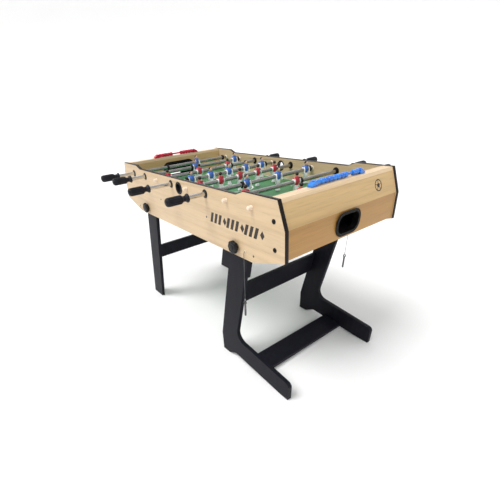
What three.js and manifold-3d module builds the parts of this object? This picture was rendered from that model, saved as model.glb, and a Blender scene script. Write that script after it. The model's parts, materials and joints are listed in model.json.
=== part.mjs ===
// Folding foosball table: a wooden cabinet on two folding leg frames, with eight telescopic rods.
// Millimetres. +Z is up, +X points to the end with the long feet, -Y is the blue team's side.
// The cabinet is drawn about its own centre, then the whole table is moved so that the middle of
// its footprint is at the origin, on the floor.
import * as THREE from 'three';
import { mergeVertices } from 'three/addons/utils/BufferGeometryUtils.js';
import Module from 'manifold-3d';

const wasm = await Module();
wasm.setup();

// Fits
const SEAM = 0.3;
const RUNNING_GAP = 0.4;
const SWING_GAP = 3;
const TURNED_SIDES = 8;

// Cabinet
const CABINET_LENGTH = 1235;
const CABINET_WIDTH = 610;
const BOTTOM_Z = 560;
const PANEL_THICKNESS = 15;
const BOARD_THICKNESS = 12;
const PANEL_TOP_RISE = 231;
const CENTRE_TOP_DROP = 14;
const STEP_INSET = 154;
const STEP_RUN = 38;
const KINK_RISE = 145;
const LOW_CORNER_RISE = 46;
const LOW_BEVEL_RUN = 154;
const KINK_INSET = 6;
const TOP_INSET = 41.5;
const END_BOARD_RECESS = 3;
const TOP_RAIL_WIDTH = 40;

// Playing field and goals
const ROD_RISE = 190;
const FIELD_BELOW_ROD = 63;
const GOALIE_ROD_TO_WALL = 72.5;
const GOAL_WIDTH = 184;
const GOAL_HEIGHT = 67;
const GOAL_CORNER_RADIUS = 26;
const GOAL_WALL_FOOT = 35;

// Ball return cups and ball entry rings
const CUP_RIM_WIDTH = 132;
const CUP_RIM_HEIGHT = 84;
const CUP_RIM_LIP = 8;
const CUP_RIM_THICKNESS = 2.4;
const CUP_BELOW_KINK = 44;
const CUP_WALL = 2.5;
const CUP_CORNER_RADIUS = 36;
const TRAY_BESIDE_GOAL = 6;
const CUP_CORNER_STEPS = 8;
const TRAY_GAP_TO_WALL = 4;
const ENTRY_BORE_RADIUS = 18;
const ENTRY_WALL = 2.5;
const ENTRY_FLANGE_RADIUS = 25;
const ENTRY_FLANGE_THICKNESS = 3;
const ENTRY_BELOW_ROD = 8;
const ENTRY_SIDES = 16;

// Rods
const TUBE_RADIUS = 8;
const TUBE_WALL = 1.4;
const SHAFT_CAP_WALL = 1.2;
const SHAFT_CAP_LENGTH = 18;
const SHAFT_CAP_EDGE = 2;
const SHAFT_COLLAR_THICKNESS = 3;
const SHAFT_END_REACH = 45;
const BUMPER_WALL = 5;
const BUMPER_LENGTH = 10;
const HANDLE_RADIUS = 16;
const HANDLE_WAIST_WALL = 2;
const HANDLE_LENGTH = 92;
const HANDLE_COLLAR_LENGTH = 6;
const HANDLE_WAIST_FROM_ROOT = 15;
const HANDLE_WAIST_LENGTH = 7;
const HANDLE_BARREL_FROM_ROOT = 32;
const HANDLE_NOSE_LENGTH = 9;
const HANDLE_NOSE_RADIUS = 10;
const HANDLE_SOCKET = 70;
const HANDLE_TIP_PUSHED_IN = 157;
const GOALIE_TRAVEL = 95;

// Players
const PLAYER_WIDTH = 36;
const PLAYER_LEG_WIDTH = 22;
const PLAYER_LEG_DROP = 58;
const PLAYER_HEAD_RISE = 36;
const PLAYER_HEAD_WIDTH = 16;
const PLAYER_NECK_RISE = 20;
const PLAYER_WRAP = 0.5;
const PLAYER_SHOULDER_RISE = 17;
const PLAYER_WAIST_DROP = 12;
const PLAYER_ANKLE_DROP = 34;
const PLAYER_ANKLE_DEPTH = 11;
const PLAYER_HEEL = 6;
const PLAYER_TOE = 8;
const PLAYER_ROW_MARGIN = 55;

// Leg frames
const PIVOT_INSET = 245.5;
const PIVOT_RISE = 33;
const LEG_THICKNESS = 18;
const LEG_WIDTH = 104;
const LEG_HEAD_FLAT = 10;
const L_LEG_LEAN = 0.215;
const L_FOOT_REACH = 283;
const HEEL_HEIGHT = 99;
const HEEL_LENGTH = 50;
const HEEL_BEVEL = 3;
const ARCH_RUN = 50;
const ARCH_HEIGHT = 28;
const INSTEP_HEIGHT = 124;
const TOE_HEIGHT = 85;
const TOE_FLAT = 38;
const TOE_RADIUS = 22;
const SOLE_RADIUS = 4;
const KNEE_RADIUS = 46;
const DOUBLER_THICKNESS = 16;
const DOUBLER_INSET = 4;
const DOUBLER_TAIL = 70;
const DOUBLER_DROP = 138;
const DOUBLER_SHOULDER_TAIL = 46;
const DOUBLER_SHOULDER_RISE = 77;
const DOUBLER_RADIUS = 20;
const STRAIGHT_LEG_LEAN = 0.243;
const LEG_CORNER_STEPS = 10;
const STRETCHER_THICKNESS = 15;
const UPPER_STRETCHER_HEIGHT = 110;
const UPPER_STRETCHER_DROP = 288;
const UPPER_STRETCHER_INSET = 1;
const LOWER_STRETCHER_WIDTH = 100;
const LOWER_STRETCHER_FROM_PIVOT = 20;
const STRAIGHT_STRETCHER_HEIGHT = 82;
const STRAIGHT_STRETCHER_DROP = 283;

// Knobs
const KNOB_RADIUS = 25;
const KNOB_DEPTH = 20;
const KNOB_NECK_RADIUS = 18;
const KNOB_NECK_LENGTH = 6;
const KNOB_EDGE = 4;
const KNOB_SIDES = 12;
const STUD_RADIUS = 5;

// Scorers
const SCORER_LENGTH = 280;
const SCORER_FROM_WALL = 13;
const SCORER_ROD_RADIUS = 4;
const SCORER_BRACKET_LENGTH = 28;
const SCORER_BRACKET_WIDTH = 22;
const SCORER_ROD_SINK = 1;
const SCORER_BRACKET_BELOW_BEADS = 2;
const SCORER_BEAD_RADIUS = 9;
const SCORER_BEAD_LENGTH = 17.4;
const SCORER_BEAD_EDGE = 2;
const SCORER_SPACER_WALL = 2;
// The stack at the near bracket, then the one at the far: how many beads, and how far they stand apart.
const SCORER_BEADS = {
  blue: [{ count: 8, apart: 3.2 }, { count: 2, apart: 0 }],
  red: [{ count: 5, apart: 0 }, { count: 5, apart: 0 }],
};

// Lock pins on wire lanyards
const LANYARD_FROM_PIVOT = 54;
const LANYARD_HOLE_RADIUS = 2;
const WIRE_RADIUS = 1;
const WIRE_EXIT_RISE = 30;
// The wire's route, as distances out from the panel's face and down from its hole.
const WIRE_ROUTE = [
  [-4, 0], [-1, 0], [2, 0.6], [4.5, 2.6], [5.8, 6], [6, 12], [6, 22], [6, 34], [6, 48], [6, 64],
  [6, 82], [6, 100], [6, 120], [6, 140], [6, 160], [6, 178], [6, 192], [6, 204],
];
const PIN_RADIUS = 4;
const PIN_LENGTH = 56;
const PIN_EYE_RADIUS = 7;
const PIN_EYE_THICKNESS = 5;
const PIN_EYE_WALL = 2.5;
const PIN_POINT = 1.5;
const PIN_SIDES = 12;
const WIRE_SIDES = 8;
const WIRE_STEPS = 38;

// Derived places
const END_X = CABINET_LENGTH / 2;
const KINK_X = END_X - KINK_INSET;
const TOP_X = END_X - TOP_INSET;
const OUTER_Y = CABINET_WIDTH / 2;
const INNER_Y = OUTER_Y - PANEL_THICKNESS;
const TOP_Z = BOTTOM_Z + PANEL_TOP_RISE;
const CENTRE_TOP_Z = TOP_Z - CENTRE_TOP_DROP;
const KINK_Z = BOTTOM_Z + KINK_RISE;
const LOW_CORNER_Z = BOTTOM_Z + LOW_CORNER_RISE;
const ROD_Z = BOTTOM_Z + ROD_RISE;
const FIELD_Z = ROD_Z - FIELD_BELOW_ROD;
const GOAL_WALL_X = TOP_X - TOP_RAIL_WIDTH;
const GOAL_WALL_BOTTOM = FIELD_Z - BOARD_THICKNESS - GOAL_WALL_FOOT;
const RAIL_Z = TOP_Z - BOARD_THICKNESS;
const ENTRY_Z = ROD_Z - ENTRY_BELOW_ROD;
const CUP_Z = KINK_Z - CUP_BELOW_KINK;
const SHAFT_RADIUS = TUBE_RADIUS - TUBE_WALL - SEAM;
const SHAFT_CAP_RADIUS = SHAFT_RADIUS + SHAFT_CAP_WALL;
const BUMPER_RADIUS = TUBE_RADIUS + BUMPER_WALL;
const HANDLE_WAIST_RADIUS = TUBE_RADIUS + HANDLE_WAIST_WALL;
const PLAYER_DEPTH = 2 * (TUBE_RADIUS + PLAYER_WRAP);
const PIVOT_X = END_X - PIVOT_INSET;
const PIVOT_Z = BOTTOM_Z + PIVOT_RISE;
const LEG_OUTER_Y = INNER_Y - SWING_GAP;
const LEG_INNER_Y = LEG_OUTER_Y - LEG_THICKNESS;
const [WIRE_END_OUT, WIRE_END_DROP] = WIRE_ROUTE[WIRE_ROUTE.length - 1];
const WIRE_EXIT_Z = BOTTOM_Z + WIRE_EXIT_RISE;
const LANYARD_X = PIVOT_X + LANYARD_FROM_PIVOT;

// The eight rods from the left end: the side the handle is on (-1 is -Y), how many players there
// are, and how far the tube is pulled out from its innermost place.
const RODS = [
  { side: -1, players: 1, pulled: 17, team: 'blue' },
  { side: -1, players: 2, pulled: 7, team: 'blue' },
  { side: 1, players: 3, pulled: 10, team: 'red' },
  { side: -1, players: 5, pulled: 38, team: 'blue' },
  { side: 1, players: 5, pulled: 17, team: 'red' },
  { side: -1, players: 3, pulled: 9, team: 'blue' },
  { side: 1, players: 2, pulled: 38, team: 'red' },
  { side: 1, players: 1, pulled: 15, team: 'red' },
];
const ROD_SPACING = 2 * (GOAL_WALL_X - GOALIE_ROD_TO_WALL) / (RODS.length - 1);
const ENDS = [['left', -1], ['right', 1]];
const SIDES = [['near', -1], ['far', 1]];

const WOOD = new THREE.MeshStandardMaterial({ color: 0xe3c79b, roughness: 0.55 });
const END_WOOD = new THREE.MeshStandardMaterial({ color: 0xc89f66, roughness: 0.55 });
const BLACK_BOARD = new THREE.MeshStandardMaterial({ color: 0x26262b, roughness: 0.5 });
const BLACK_PLASTIC = new THREE.MeshStandardMaterial({ color: 0x1a1c20, roughness: 0.45 });
const GREEN = new THREE.MeshStandardMaterial({ color: 0x2f7d46, roughness: 0.6 });
const CHROME = new THREE.MeshStandardMaterial({ color: 0xd5d7da, roughness: 0.15, metalness: 1 });
const STEEL = new THREE.MeshStandardMaterial({ color: 0x9a9da1, roughness: 0.35, metalness: 1 });
const BLUE = new THREE.MeshStandardMaterial({ color: 0x2b62c8, roughness: 0.4 });
const RED = new THREE.MeshStandardMaterial({ color: 0xb8203c, roughness: 0.4 });
const TEAM = { blue: BLUE, red: RED };

const table = new THREE.Group();

// Solids

function toSolid(geometry) {
  geometry.deleteAttribute('normal');
  geometry.deleteAttribute('uv');
  const merged = mergeVertices(geometry, 1e-4);
  return new wasm.Manifold(new wasm.Mesh({
    numProp: 3,
    vertProperties: new Float32Array(merged.attributes.position.array),
    triVerts: new Uint32Array(merged.index.array),
  }));
}

function toGeometry(solid) {
  const mesh = solid.getMesh();
  const geometry = new THREE.BufferGeometry();
  geometry.setAttribute('position', new THREE.BufferAttribute(mesh.vertProperties, 3));
  geometry.setIndex(new THREE.BufferAttribute(mesh.triVerts, 1));
  return geometry;
}

function addPart(name, solid, material) {
  const mesh = new THREE.Mesh(toGeometry(solid), material);
  mesh.name = name;
  table.add(mesh);
}

function join(solids) {
  return solids.reduce((whole, piece) => whole.add(piece));
}

// A block from its lowest to its highest corner.
function block(low, high) {
  const size = high.map((value, i) => value - low[i]);
  const geometry = new THREE.BoxGeometry(...size);
  geometry.translate(...low.map((value, i) => value + size[i] / 2));
  return toSolid(geometry);
}

// Rounds the corners of a closed outline; each point is [u, v, radius], with the radius optional.
function roundedShape(points, steps = 5) {
  const outline = [];
  points.forEach(([u, v, radius = 0], i) => {
    const corner = new THREE.Vector2(u, v);
    if (radius === 0) {
      outline.push(corner);
      return;
    }
    const before = points[(i + points.length - 1) % points.length];
    const after = points[(i + 1) % points.length];
    const toBefore = new THREE.Vector2(before[0] - u, before[1] - v).normalize();
    const toAfter = new THREE.Vector2(after[0] - u, after[1] - v).normalize();
    const half = Math.acos(toBefore.dot(toAfter)) / 2;
    const centre = toBefore.clone().add(toAfter).normalize()
      .multiplyScalar(radius / Math.sin(half)).add(corner);
    const start = toBefore.multiplyScalar(radius / Math.tan(half)).add(corner).sub(centre);
    const end = toAfter.multiplyScalar(radius / Math.tan(half)).add(corner).sub(centre);
    const turn = Math.atan2(start.cross(end), start.dot(end));
    for (let k = 0; k <= steps; k += 1) {
      const spoke = start.clone().rotateAround(new THREE.Vector2(), turn * k / steps);
      outline.push(spoke.add(centre));
    }
  });
  return new THREE.Shape(outline);
}

function rectangle(width, height, radius) {
  return roundedShape([
    [-width / 2, -height / 2, radius],
    [width / 2, -height / 2, radius],
    [width / 2, height / 2, radius],
    [-width / 2, height / 2, radius],
  ], CUP_CORNER_STEPS);
}

// Extrudes an outline drawn in X and Z from one Y to a higher one.
function plateXZ(shape, lowY, highY) {
  const geometry = new THREE.ExtrudeGeometry(shape, { depth: highY - lowY, bevelEnabled: false });
  geometry.rotateX(Math.PI / 2);
  geometry.translate(0, highY, 0);
  return toSolid(geometry);
}

// Extrudes an outline drawn in Y and Z from one X to a higher one.
function plateYZ(shape, lowX, highX) {
  const geometry = new THREE.ExtrudeGeometry(shape, { depth: highX - lowX, bevelEnabled: false });
  geometry.rotateX(Math.PI / 2);
  geometry.rotateZ(Math.PI / 2);
  geometry.translate(lowX, 0, 0);
  return toSolid(geometry);
}

// A turned piece along Y: the profile is [radius, y] points, starting and ending on the axis.
function turnedY(profile, segments = TURNED_SIDES) {
  const points = profile.map(([radius, y]) => new THREE.Vector2(radius, y));
  return toSolid(new THREE.LatheGeometry(points, segments));
}

// The radius of a polygon bore that leaves a round or polygon pin its gap all round.
function boreRadius(pinRadius, gap, segments = TURNED_SIDES) {
  return (pinRadius + gap) / Math.cos(Math.PI / segments);
}

function drillY(radius, lowY, highY, x, z, segments = TURNED_SIDES) {
  const drill = turnedY([[0, lowY], [radius, lowY], [radius, highY], [0, highY]], segments);
  return drill.translate([x, 0, z]);
}

function rodX(index) {
  return (index - (RODS.length - 1) / 2) * ROD_SPACING;
}

// Side panels: hexagonal ends, a lowered middle, and the bores for rods, knobs, balls and wires.

function sideOutline() {
  const stepOut = TOP_X - STEP_INSET;
  const stepIn = stepOut - STEP_RUN;
  const right = [
    [END_X - LOW_BEVEL_RUN, BOTTOM_Z], [END_X, LOW_CORNER_Z], [KINK_X, KINK_Z],
    [TOP_X, TOP_Z], [stepOut, TOP_Z], [stepIn, CENTRE_TOP_Z],
  ];
  return [...right, ...right.map(([x, z]) => [-x, z]).reverse()];
}

function sidePanel(side) {
  const lowY = Math.min(side * OUTER_Y, side * INNER_Y);
  const highY = Math.max(side * OUTER_Y, side * INNER_Y);
  const cutLow = lowY - 1;
  const cutHigh = highY + 1;
  let panel = plateXZ(roundedShape(sideOutline()), lowY, highY);
  RODS.forEach((rod, i) => {
    const pin = rod.side === side ? TUBE_RADIUS : SHAFT_RADIUS;
    panel = panel.subtract(drillY(boreRadius(pin, RUNNING_GAP), cutLow, cutHigh, rodX(i), ROD_Z));
  });
  const entry = boreRadius(ENTRY_BORE_RADIUS + ENTRY_WALL, SEAM, ENTRY_SIDES);
  panel = panel.subtract(drillY(entry, cutLow, cutHigh, 0, ENTRY_Z, ENTRY_SIDES));
  ENDS.forEach(([, end]) => {
    const stud = boreRadius(STUD_RADIUS, RUNNING_GAP);
    panel = panel.subtract(drillY(stud, cutLow, cutHigh, end * PIVOT_X, PIVOT_Z));
  });
  return panel.subtract(drillY(LANYARD_HOLE_RADIUS, cutLow, cutHigh, LANYARD_X, WIRE_EXIT_Z, 8));
}

// End boxes: a top rail, two outer boards that meet at the kink, and the goal wall inside.

// The X of the end boards' outer face at a height between the kink and the top.
function upperFaceX(z) {
  const slope = (KINK_X - TOP_X) / (TOP_Z - KINK_Z);
  return KINK_X - END_BOARD_RECESS - slope * (z - KINK_Z);
}

function acrossCabinet(points, end, margin = SEAM) {
  const mirrored = end > 0 ? points : points.map(([x, z]) => [-x, z]).reverse();
  return plateXZ(roundedShape(mirrored), -INNER_Y + margin, INNER_Y - margin);
}

function topRail(end) {
  return acrossCabinet([
    [GOAL_WALL_X, RAIL_Z], [upperFaceX(RAIL_Z), RAIL_Z],
    [upperFaceX(TOP_Z), TOP_Z], [GOAL_WALL_X, TOP_Z],
  ], end);
}

function upperEndBoard(end) {
  const top = RAIL_Z - SEAM;
  return acrossCabinet([
    [upperFaceX(KINK_Z), KINK_Z], [upperFaceX(top), top],
    [upperFaceX(top) - BOARD_THICKNESS, top], [upperFaceX(KINK_Z) - BOARD_THICKNESS, KINK_Z],
  ], end);
}

function lowerEndBoard(end) {
  const top = KINK_Z - SEAM;
  const bottom = LOW_CORNER_Z + END_BOARD_RECESS * 2;
  const kinkFace = KINK_X - END_BOARD_RECESS;
  const lowFace = END_X - END_BOARD_RECESS;
  const board = acrossCabinet([
    [lowFace - BOARD_THICKNESS, bottom], [lowFace, bottom],
    [kinkFace, top], [kinkFace - BOARD_THICKNESS, top],
  ], end);
  return board.subtract(cupPlug(end, SEAM, -END_X - 1, END_X + 1));
}

function goalWall(end) {
  const wall = acrossCabinet([
    [GOAL_WALL_X, GOAL_WALL_BOTTOM], [GOAL_WALL_X + BOARD_THICKNESS, GOAL_WALL_BOTTOM],
    [GOAL_WALL_X + BOARD_THICKNESS, RAIL_Z - SEAM], [GOAL_WALL_X, RAIL_Z - SEAM],
  ], end);
  const mouth = roundedShape([
    [-GOAL_WIDTH / 2, FIELD_Z], [GOAL_WIDTH / 2, FIELD_Z],
    [GOAL_WIDTH / 2, FIELD_Z + GOAL_HEIGHT, GOAL_CORNER_RADIUS],
    [-GOAL_WIDTH / 2, FIELD_Z + GOAL_HEIGHT, GOAL_CORNER_RADIUS],
  ]);
  return wall.subtract(plateYZ(mouth, -END_X, END_X));
}

function playfield() {
  const halfX = GOAL_WALL_X - SEAM;
  const halfY = INNER_Y - SEAM;
  return block([-halfX, -halfY, FIELD_Z - BOARD_THICKNESS], [halfX, halfY, FIELD_Z]);
}

// A ball return cup: a rim on the end board, a sleeve through it, and an open tray behind it that
// is as wide as the goal, to catch what falls from the goal mouth.

function shiftedYZ(shape, lowX, highX, z) {
  return plateYZ(shape, lowX, highX).translate([0, 0, z]);
}

function cupPlug(end, gap, lowX, highX) {
  const sleeve = rectangle(CUP_RIM_WIDTH - 2 * CUP_RIM_LIP + 2 * gap,
    CUP_RIM_HEIGHT - 2 * CUP_RIM_LIP + 2 * gap, CUP_CORNER_RADIUS - CUP_RIM_LIP + gap);
  const from = end > 0 ? Math.max(lowX, 0) : lowX;
  const to = end > 0 ? highX : Math.min(highX, 0);
  return shiftedYZ(sleeve, from, to, CUP_Z);
}

function ballReturnCup(end) {
  const face = END_X - END_BOARD_RECESS + SEAM;
  const boardBack = KINK_X - END_BOARD_RECESS - BOARD_THICKNESS - SEAM;
  const trayBack = GOAL_WALL_X + BOARD_THICKNESS + TRAY_GAP_TO_WALL;
  const trayLow = CUP_Z - CUP_RIM_HEIGHT / 2 + CUP_RIM_LIP;
  const trayHigh = CUP_Z + CUP_RIM_HEIGHT / 2 - CUP_RIM_LIP;
  const halfTray = GOAL_WIDTH / 2 + TRAY_BESIDE_GOAL;
  const rim = rectangle(CUP_RIM_WIDTH, CUP_RIM_HEIGHT, CUP_CORNER_RADIUS);
  const hole = rectangle(CUP_RIM_WIDTH - 2 * CUP_RIM_LIP - 2 * CUP_WALL,
    CUP_RIM_HEIGHT - 2 * CUP_RIM_LIP - 2 * CUP_WALL, CUP_CORNER_RADIUS - CUP_RIM_LIP - CUP_WALL);
  const shell = join([
    shiftedYZ(rim, face, face + CUP_RIM_THICKNESS, CUP_Z),
    cupPlug(1, 0, boardBack - CUP_WALL, face + CUP_RIM_THICKNESS),
    block([trayBack, -halfTray, trayLow], [boardBack, halfTray, trayHigh]),
  ]);
  const inside = join([
    block([trayBack + CUP_WALL, -halfTray + CUP_WALL, trayLow + CUP_WALL],
      [boardBack - CUP_WALL, halfTray - CUP_WALL, trayHigh + 1]),
    shiftedYZ(hole, trayBack + CUP_WALL, END_X + CUP_RIM_THICKNESS + 1, CUP_Z),
  ]);
  const cup = shell.subtract(inside);
  return end > 0 ? cup : cup.rotate([0, 0, 180]);
}

function ballEntryRing(side) {
  const flangeY = OUTER_Y + SEAM;
  const ring = turnedY([
    [ENTRY_BORE_RADIUS, INNER_Y], [ENTRY_BORE_RADIUS + ENTRY_WALL, INNER_Y],
    [ENTRY_BORE_RADIUS + ENTRY_WALL, flangeY], [ENTRY_FLANGE_RADIUS, flangeY],
    [ENTRY_FLANGE_RADIUS - 1, flangeY + ENTRY_FLANGE_THICKNESS],
    [ENTRY_BORE_RADIUS, flangeY + ENTRY_FLANGE_THICKNESS], [ENTRY_BORE_RADIUS, INNER_Y],
  ], ENTRY_SIDES);
  return (side > 0 ? ring : ring.rotate([0, 0, 180])).translate([0, 0, ENTRY_Z]);
}

// Rods: the shaft turns in the panel away from the handle and the tube slides over it. Each is
// drawn with its handle towards +Y and turned round for the other side.

function placeRod(solid, rod, index) {
  return (rod.side > 0 ? solid : solid.rotate([0, 0, 180])).translate([rodX(index), 0, ROD_Z]);
}

function shaft() {
  const collarY = -INNER_Y + SEAM;
  const capY = -OUTER_Y - SEAM;
  const tipY = OUTER_Y + SHAFT_END_REACH;
  return turnedY([
    [0, capY - SHAFT_CAP_LENGTH], [SHAFT_CAP_RADIUS - SHAFT_CAP_EDGE, capY - SHAFT_CAP_LENGTH],
    [SHAFT_CAP_RADIUS, capY - SHAFT_CAP_LENGTH + SHAFT_CAP_EDGE], [SHAFT_CAP_RADIUS, capY],
    [SHAFT_RADIUS, capY], [SHAFT_RADIUS, collarY], [SHAFT_CAP_RADIUS, collarY],
    [SHAFT_CAP_RADIUS, collarY + SHAFT_COLLAR_THICKNESS],
    [SHAFT_RADIUS, collarY + SHAFT_COLLAR_THICKNESS], [SHAFT_RADIUS, tipY], [0, tipY],
  ]);
}

function player(y) {
  const back = PLAYER_DEPTH / 2;
  const ankle = PLAYER_ANKLE_DEPTH / 2;
  const head = PLAYER_HEAD_WIDTH / 2;
  const outline = roundedShape([
    [-PLAYER_TOE, -PLAYER_LEG_DROP], [PLAYER_HEEL, -PLAYER_LEG_DROP], [ankle, -PLAYER_ANKLE_DROP],
    [back, -PLAYER_WAIST_DROP], [back, PLAYER_SHOULDER_RISE], [head, PLAYER_NECK_RISE],
    [head, PLAYER_HEAD_RISE], [-head, PLAYER_HEAD_RISE], [-head, PLAYER_NECK_RISE],
    [-back, PLAYER_SHOULDER_RISE], [-back, -PLAYER_WAIST_DROP], [-ankle, -PLAYER_ANKLE_DROP],
  ]);
  const body = plateXZ(outline, y - PLAYER_LEG_WIDTH / 2, y + PLAYER_LEG_WIDTH / 2);
  const arms = block([-back, y - PLAYER_WIDTH / 2, -PLAYER_WAIST_DROP],
    [back, y + PLAYER_WIDTH / 2, PLAYER_SHOULDER_RISE]);
  return body.add(arms);
}

function bumper(low) {
  const high = low + BUMPER_LENGTH;
  return turnedY([[0, low], [BUMPER_RADIUS, low], [BUMPER_RADIUS, high], [0, high]]);
}

// How far a tube reaches from the cabinet's middle when it is pushed in against the shaft's collar.
const TUBE_REACH = INNER_Y - SHAFT_COLLAR_THICKNESS - 2 * SEAM - RUNNING_GAP;

function playerSpacing(rod) {
  return (2 * INNER_Y - PLAYER_ROW_MARGIN) / rod.players;
}

// How far a tube slides each way from its middle before a bumper meets a wall.
function travel(rod) {
  if (rod.players === 1) {
    return GOALIE_TRAVEL;
  }
  const row = playerSpacing(rod) * (rod.players - 1) + PLAYER_WIDTH;
  return TUBE_REACH - BUMPER_LENGTH - SEAM - row / 2;
}

function tubeWithPlayers(rod) {
  const innerEnd = rod.pulled - TUBE_REACH;
  const outerEnd = handleTip(rod) - HANDLE_LENGTH + HANDLE_SOCKET - SEAM;
  const middle = rod.pulled - travel(rod);
  const first = middle - playerSpacing(rod) * (rod.players - 1) / 2;
  const players = Array.from({ length: rod.players }, (_, i) => player(first + i * playerSpacing(rod)));
  const outside = join([
    turnedY([[0, innerEnd], [TUBE_RADIUS, innerEnd], [TUBE_RADIUS, outerEnd], [0, outerEnd]]),
    ...players,
    bumper(innerEnd),
    bumper(2 * middle - innerEnd - BUMPER_LENGTH),
  ]);
  return outside.subtract(drillY(TUBE_RADIUS - TUBE_WALL, innerEnd - 1, outerEnd + 1, 0, 0));
}

function handleTip(rod) {
  return OUTER_Y + HANDLE_TIP_PUSHED_IN + rod.pulled;
}

function handle(rod) {
  const tip = handleTip(rod);
  const root = tip - HANDLE_LENGTH;
  const bore = TUBE_RADIUS + SEAM;
  const waist = root + HANDLE_WAIST_FROM_ROOT;
  return turnedY([
    [bore, root], [HANDLE_RADIUS, root], [HANDLE_RADIUS, root + HANDLE_COLLAR_LENGTH],
    [HANDLE_WAIST_RADIUS, waist], [HANDLE_WAIST_RADIUS, waist + HANDLE_WAIST_LENGTH],
    [HANDLE_RADIUS, root + HANDLE_BARREL_FROM_ROOT], [HANDLE_RADIUS, tip - HANDLE_NOSE_LENGTH],
    [HANDLE_NOSE_RADIUS, tip], [0, tip], [0, root + HANDLE_SOCKET],
    [bore, root + HANDLE_SOCKET], [bore, root],
  ]);
}

// Leg frames. Each leg swings on its knob's stud, just inside a side panel.

// The X of a leg's centre line at a height; lean is its run per rise, towards -X going down.
function legX(pivotX, lean, z) {
  return pivotX - lean * (PIVOT_Z - z);
}

// Extrudes an outline between two distances from the cabinet's middle, on one side of it.
function sideSlab(shape, side, inner, outer) {
  return plateXZ(shape, Math.min(side * inner, side * outer), Math.max(side * inner, side * outer));
}

function studHole(pivotX) {
  const radius = boreRadius(STUD_RADIUS, RUNNING_GAP);
  return drillY(radius, -OUTER_Y, OUTER_Y, pivotX, PIVOT_Z);
}

function lLegShape() {
  const half = LEG_WIDTH / 2;
  const headRadius = (LEG_WIDTH - LEG_HEAD_FLAT) / 2;
  const headZ = PIVOT_Z + half;
  const headX = legX(PIVOT_X, L_LEG_LEAN, headZ);
  const heelX = legX(PIVOT_X, L_LEG_LEAN, HEEL_HEIGHT) - half;
  const toeX = PIVOT_X + L_FOOT_REACH;
  const kneeX = legX(PIVOT_X, L_LEG_LEAN, INSTEP_HEIGHT) + half;
  return roundedShape([
    [heelX + HEEL_BEVEL, 0], [heelX + HEEL_LENGTH, 0], [heelX + HEEL_LENGTH + ARCH_RUN, ARCH_HEIGHT],
    [toeX - TOE_FLAT, 0], [toeX, 0, SOLE_RADIUS], [toeX, TOE_HEIGHT, TOE_RADIUS],
    [kneeX, INSTEP_HEIGHT, KNEE_RADIUS], [headX + half, headZ, headRadius],
    [headX - half, headZ, headRadius], [heelX, HEEL_HEIGHT],
  ], LEG_CORNER_STEPS);
}

// The doubler thickens the L-leg's head on its inner face and reaches back past the leg.
function doublerShape() {
  const half = LEG_WIDTH / 2 - DOUBLER_INSET;
  const lowZ = PIVOT_Z - DOUBLER_DROP;
  const topZ = PIVOT_Z + half;
  const lowX = legX(PIVOT_X, L_LEG_LEAN, lowZ);
  const topX = legX(PIVOT_X, L_LEG_LEAN, topZ);
  return roundedShape([
    [lowX - half - DOUBLER_TAIL, lowZ], [lowX + half, lowZ],
    [topX + half, topZ, half - LEG_HEAD_FLAT / 2], [topX - half, topZ, DOUBLER_RADIUS],
    [lowX - half - DOUBLER_SHOULDER_TAIL, lowZ + DOUBLER_SHOULDER_RISE],
  ]);
}

// The doubler's tail stops just short of the plane in which the other frame's legs swing.
function lLeg(side) {
  const innermost = LEG_INNER_Y - DOUBLER_THICKNESS;
  const tail = sideSlab(doublerShape(), side, innermost, LEG_INNER_Y - SEAM);
  const root = sideSlab(doublerShape(), side, innermost, LEG_INNER_Y + SEAM)
    .intersect(sideSlab(lLegShape(), side, 0, LEG_OUTER_Y));
  return join([sideSlab(lLegShape(), side, LEG_INNER_Y, LEG_OUTER_Y), tail, root])
    .subtract(studHole(PIVOT_X));
}

function straightLeg(side) {
  const half = LEG_WIDTH / 2;
  const headZ = PIVOT_Z + half;
  const footX = legX(-PIVOT_X, STRAIGHT_LEG_LEAN, 0);
  const headX = legX(-PIVOT_X, STRAIGHT_LEG_LEAN, headZ);
  const headRadius = (LEG_WIDTH - LEG_HEAD_FLAT) / 2;
  const shape = roundedShape([
    [footX - half, 0], [footX + half, 0],
    [headX + half, headZ, headRadius], [headX - half, headZ, headRadius],
  ], LEG_CORNER_STEPS);
  return sideSlab(shape, side, LEG_INNER_Y, LEG_OUTER_Y).subtract(studHole(-PIVOT_X));
}

// A board between the legs of a frame, from leg face to leg face.
function betweenLegs(points) {
  const half = LEG_INNER_Y - SEAM;
  return plateXZ(roundedShape(points), -half, half);
}

function leaningStretcher(pivotX, lean, offset, drop, height) {
  const low = PIVOT_Z - drop - height / 2;
  const high = PIVOT_Z - drop + height / 2;
  const lowX = legX(pivotX, lean, low) + offset;
  const highX = legX(pivotX, lean, high) + offset;
  return betweenLegs([
    [lowX, low], [lowX + STRETCHER_THICKNESS, low], [highX + STRETCHER_THICKNESS, high], [highX, high],
  ]);
}

function lowerStretcher() {
  const rearX = PIVOT_X + LOWER_STRETCHER_FROM_PIVOT;
  const heelX = legX(PIVOT_X, L_LEG_LEAN, HEEL_HEIGHT) - LEG_WIDTH / 2;
  const archX = heelX + HEEL_LENGTH + ARCH_RUN;
  const toeFlatX = PIVOT_X + L_FOOT_REACH - TOE_FLAT;
  const underside = (x) => ARCH_HEIGHT * (toeFlatX - x) / (toeFlatX - archX);
  const frontX = rearX + LOWER_STRETCHER_WIDTH;
  return betweenLegs([
    [rearX, underside(rearX)], [frontX, underside(frontX)],
    [frontX, underside(frontX) + STRETCHER_THICKNESS], [rearX, underside(rearX) + STRETCHER_THICKNESS],
  ]);
}

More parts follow.
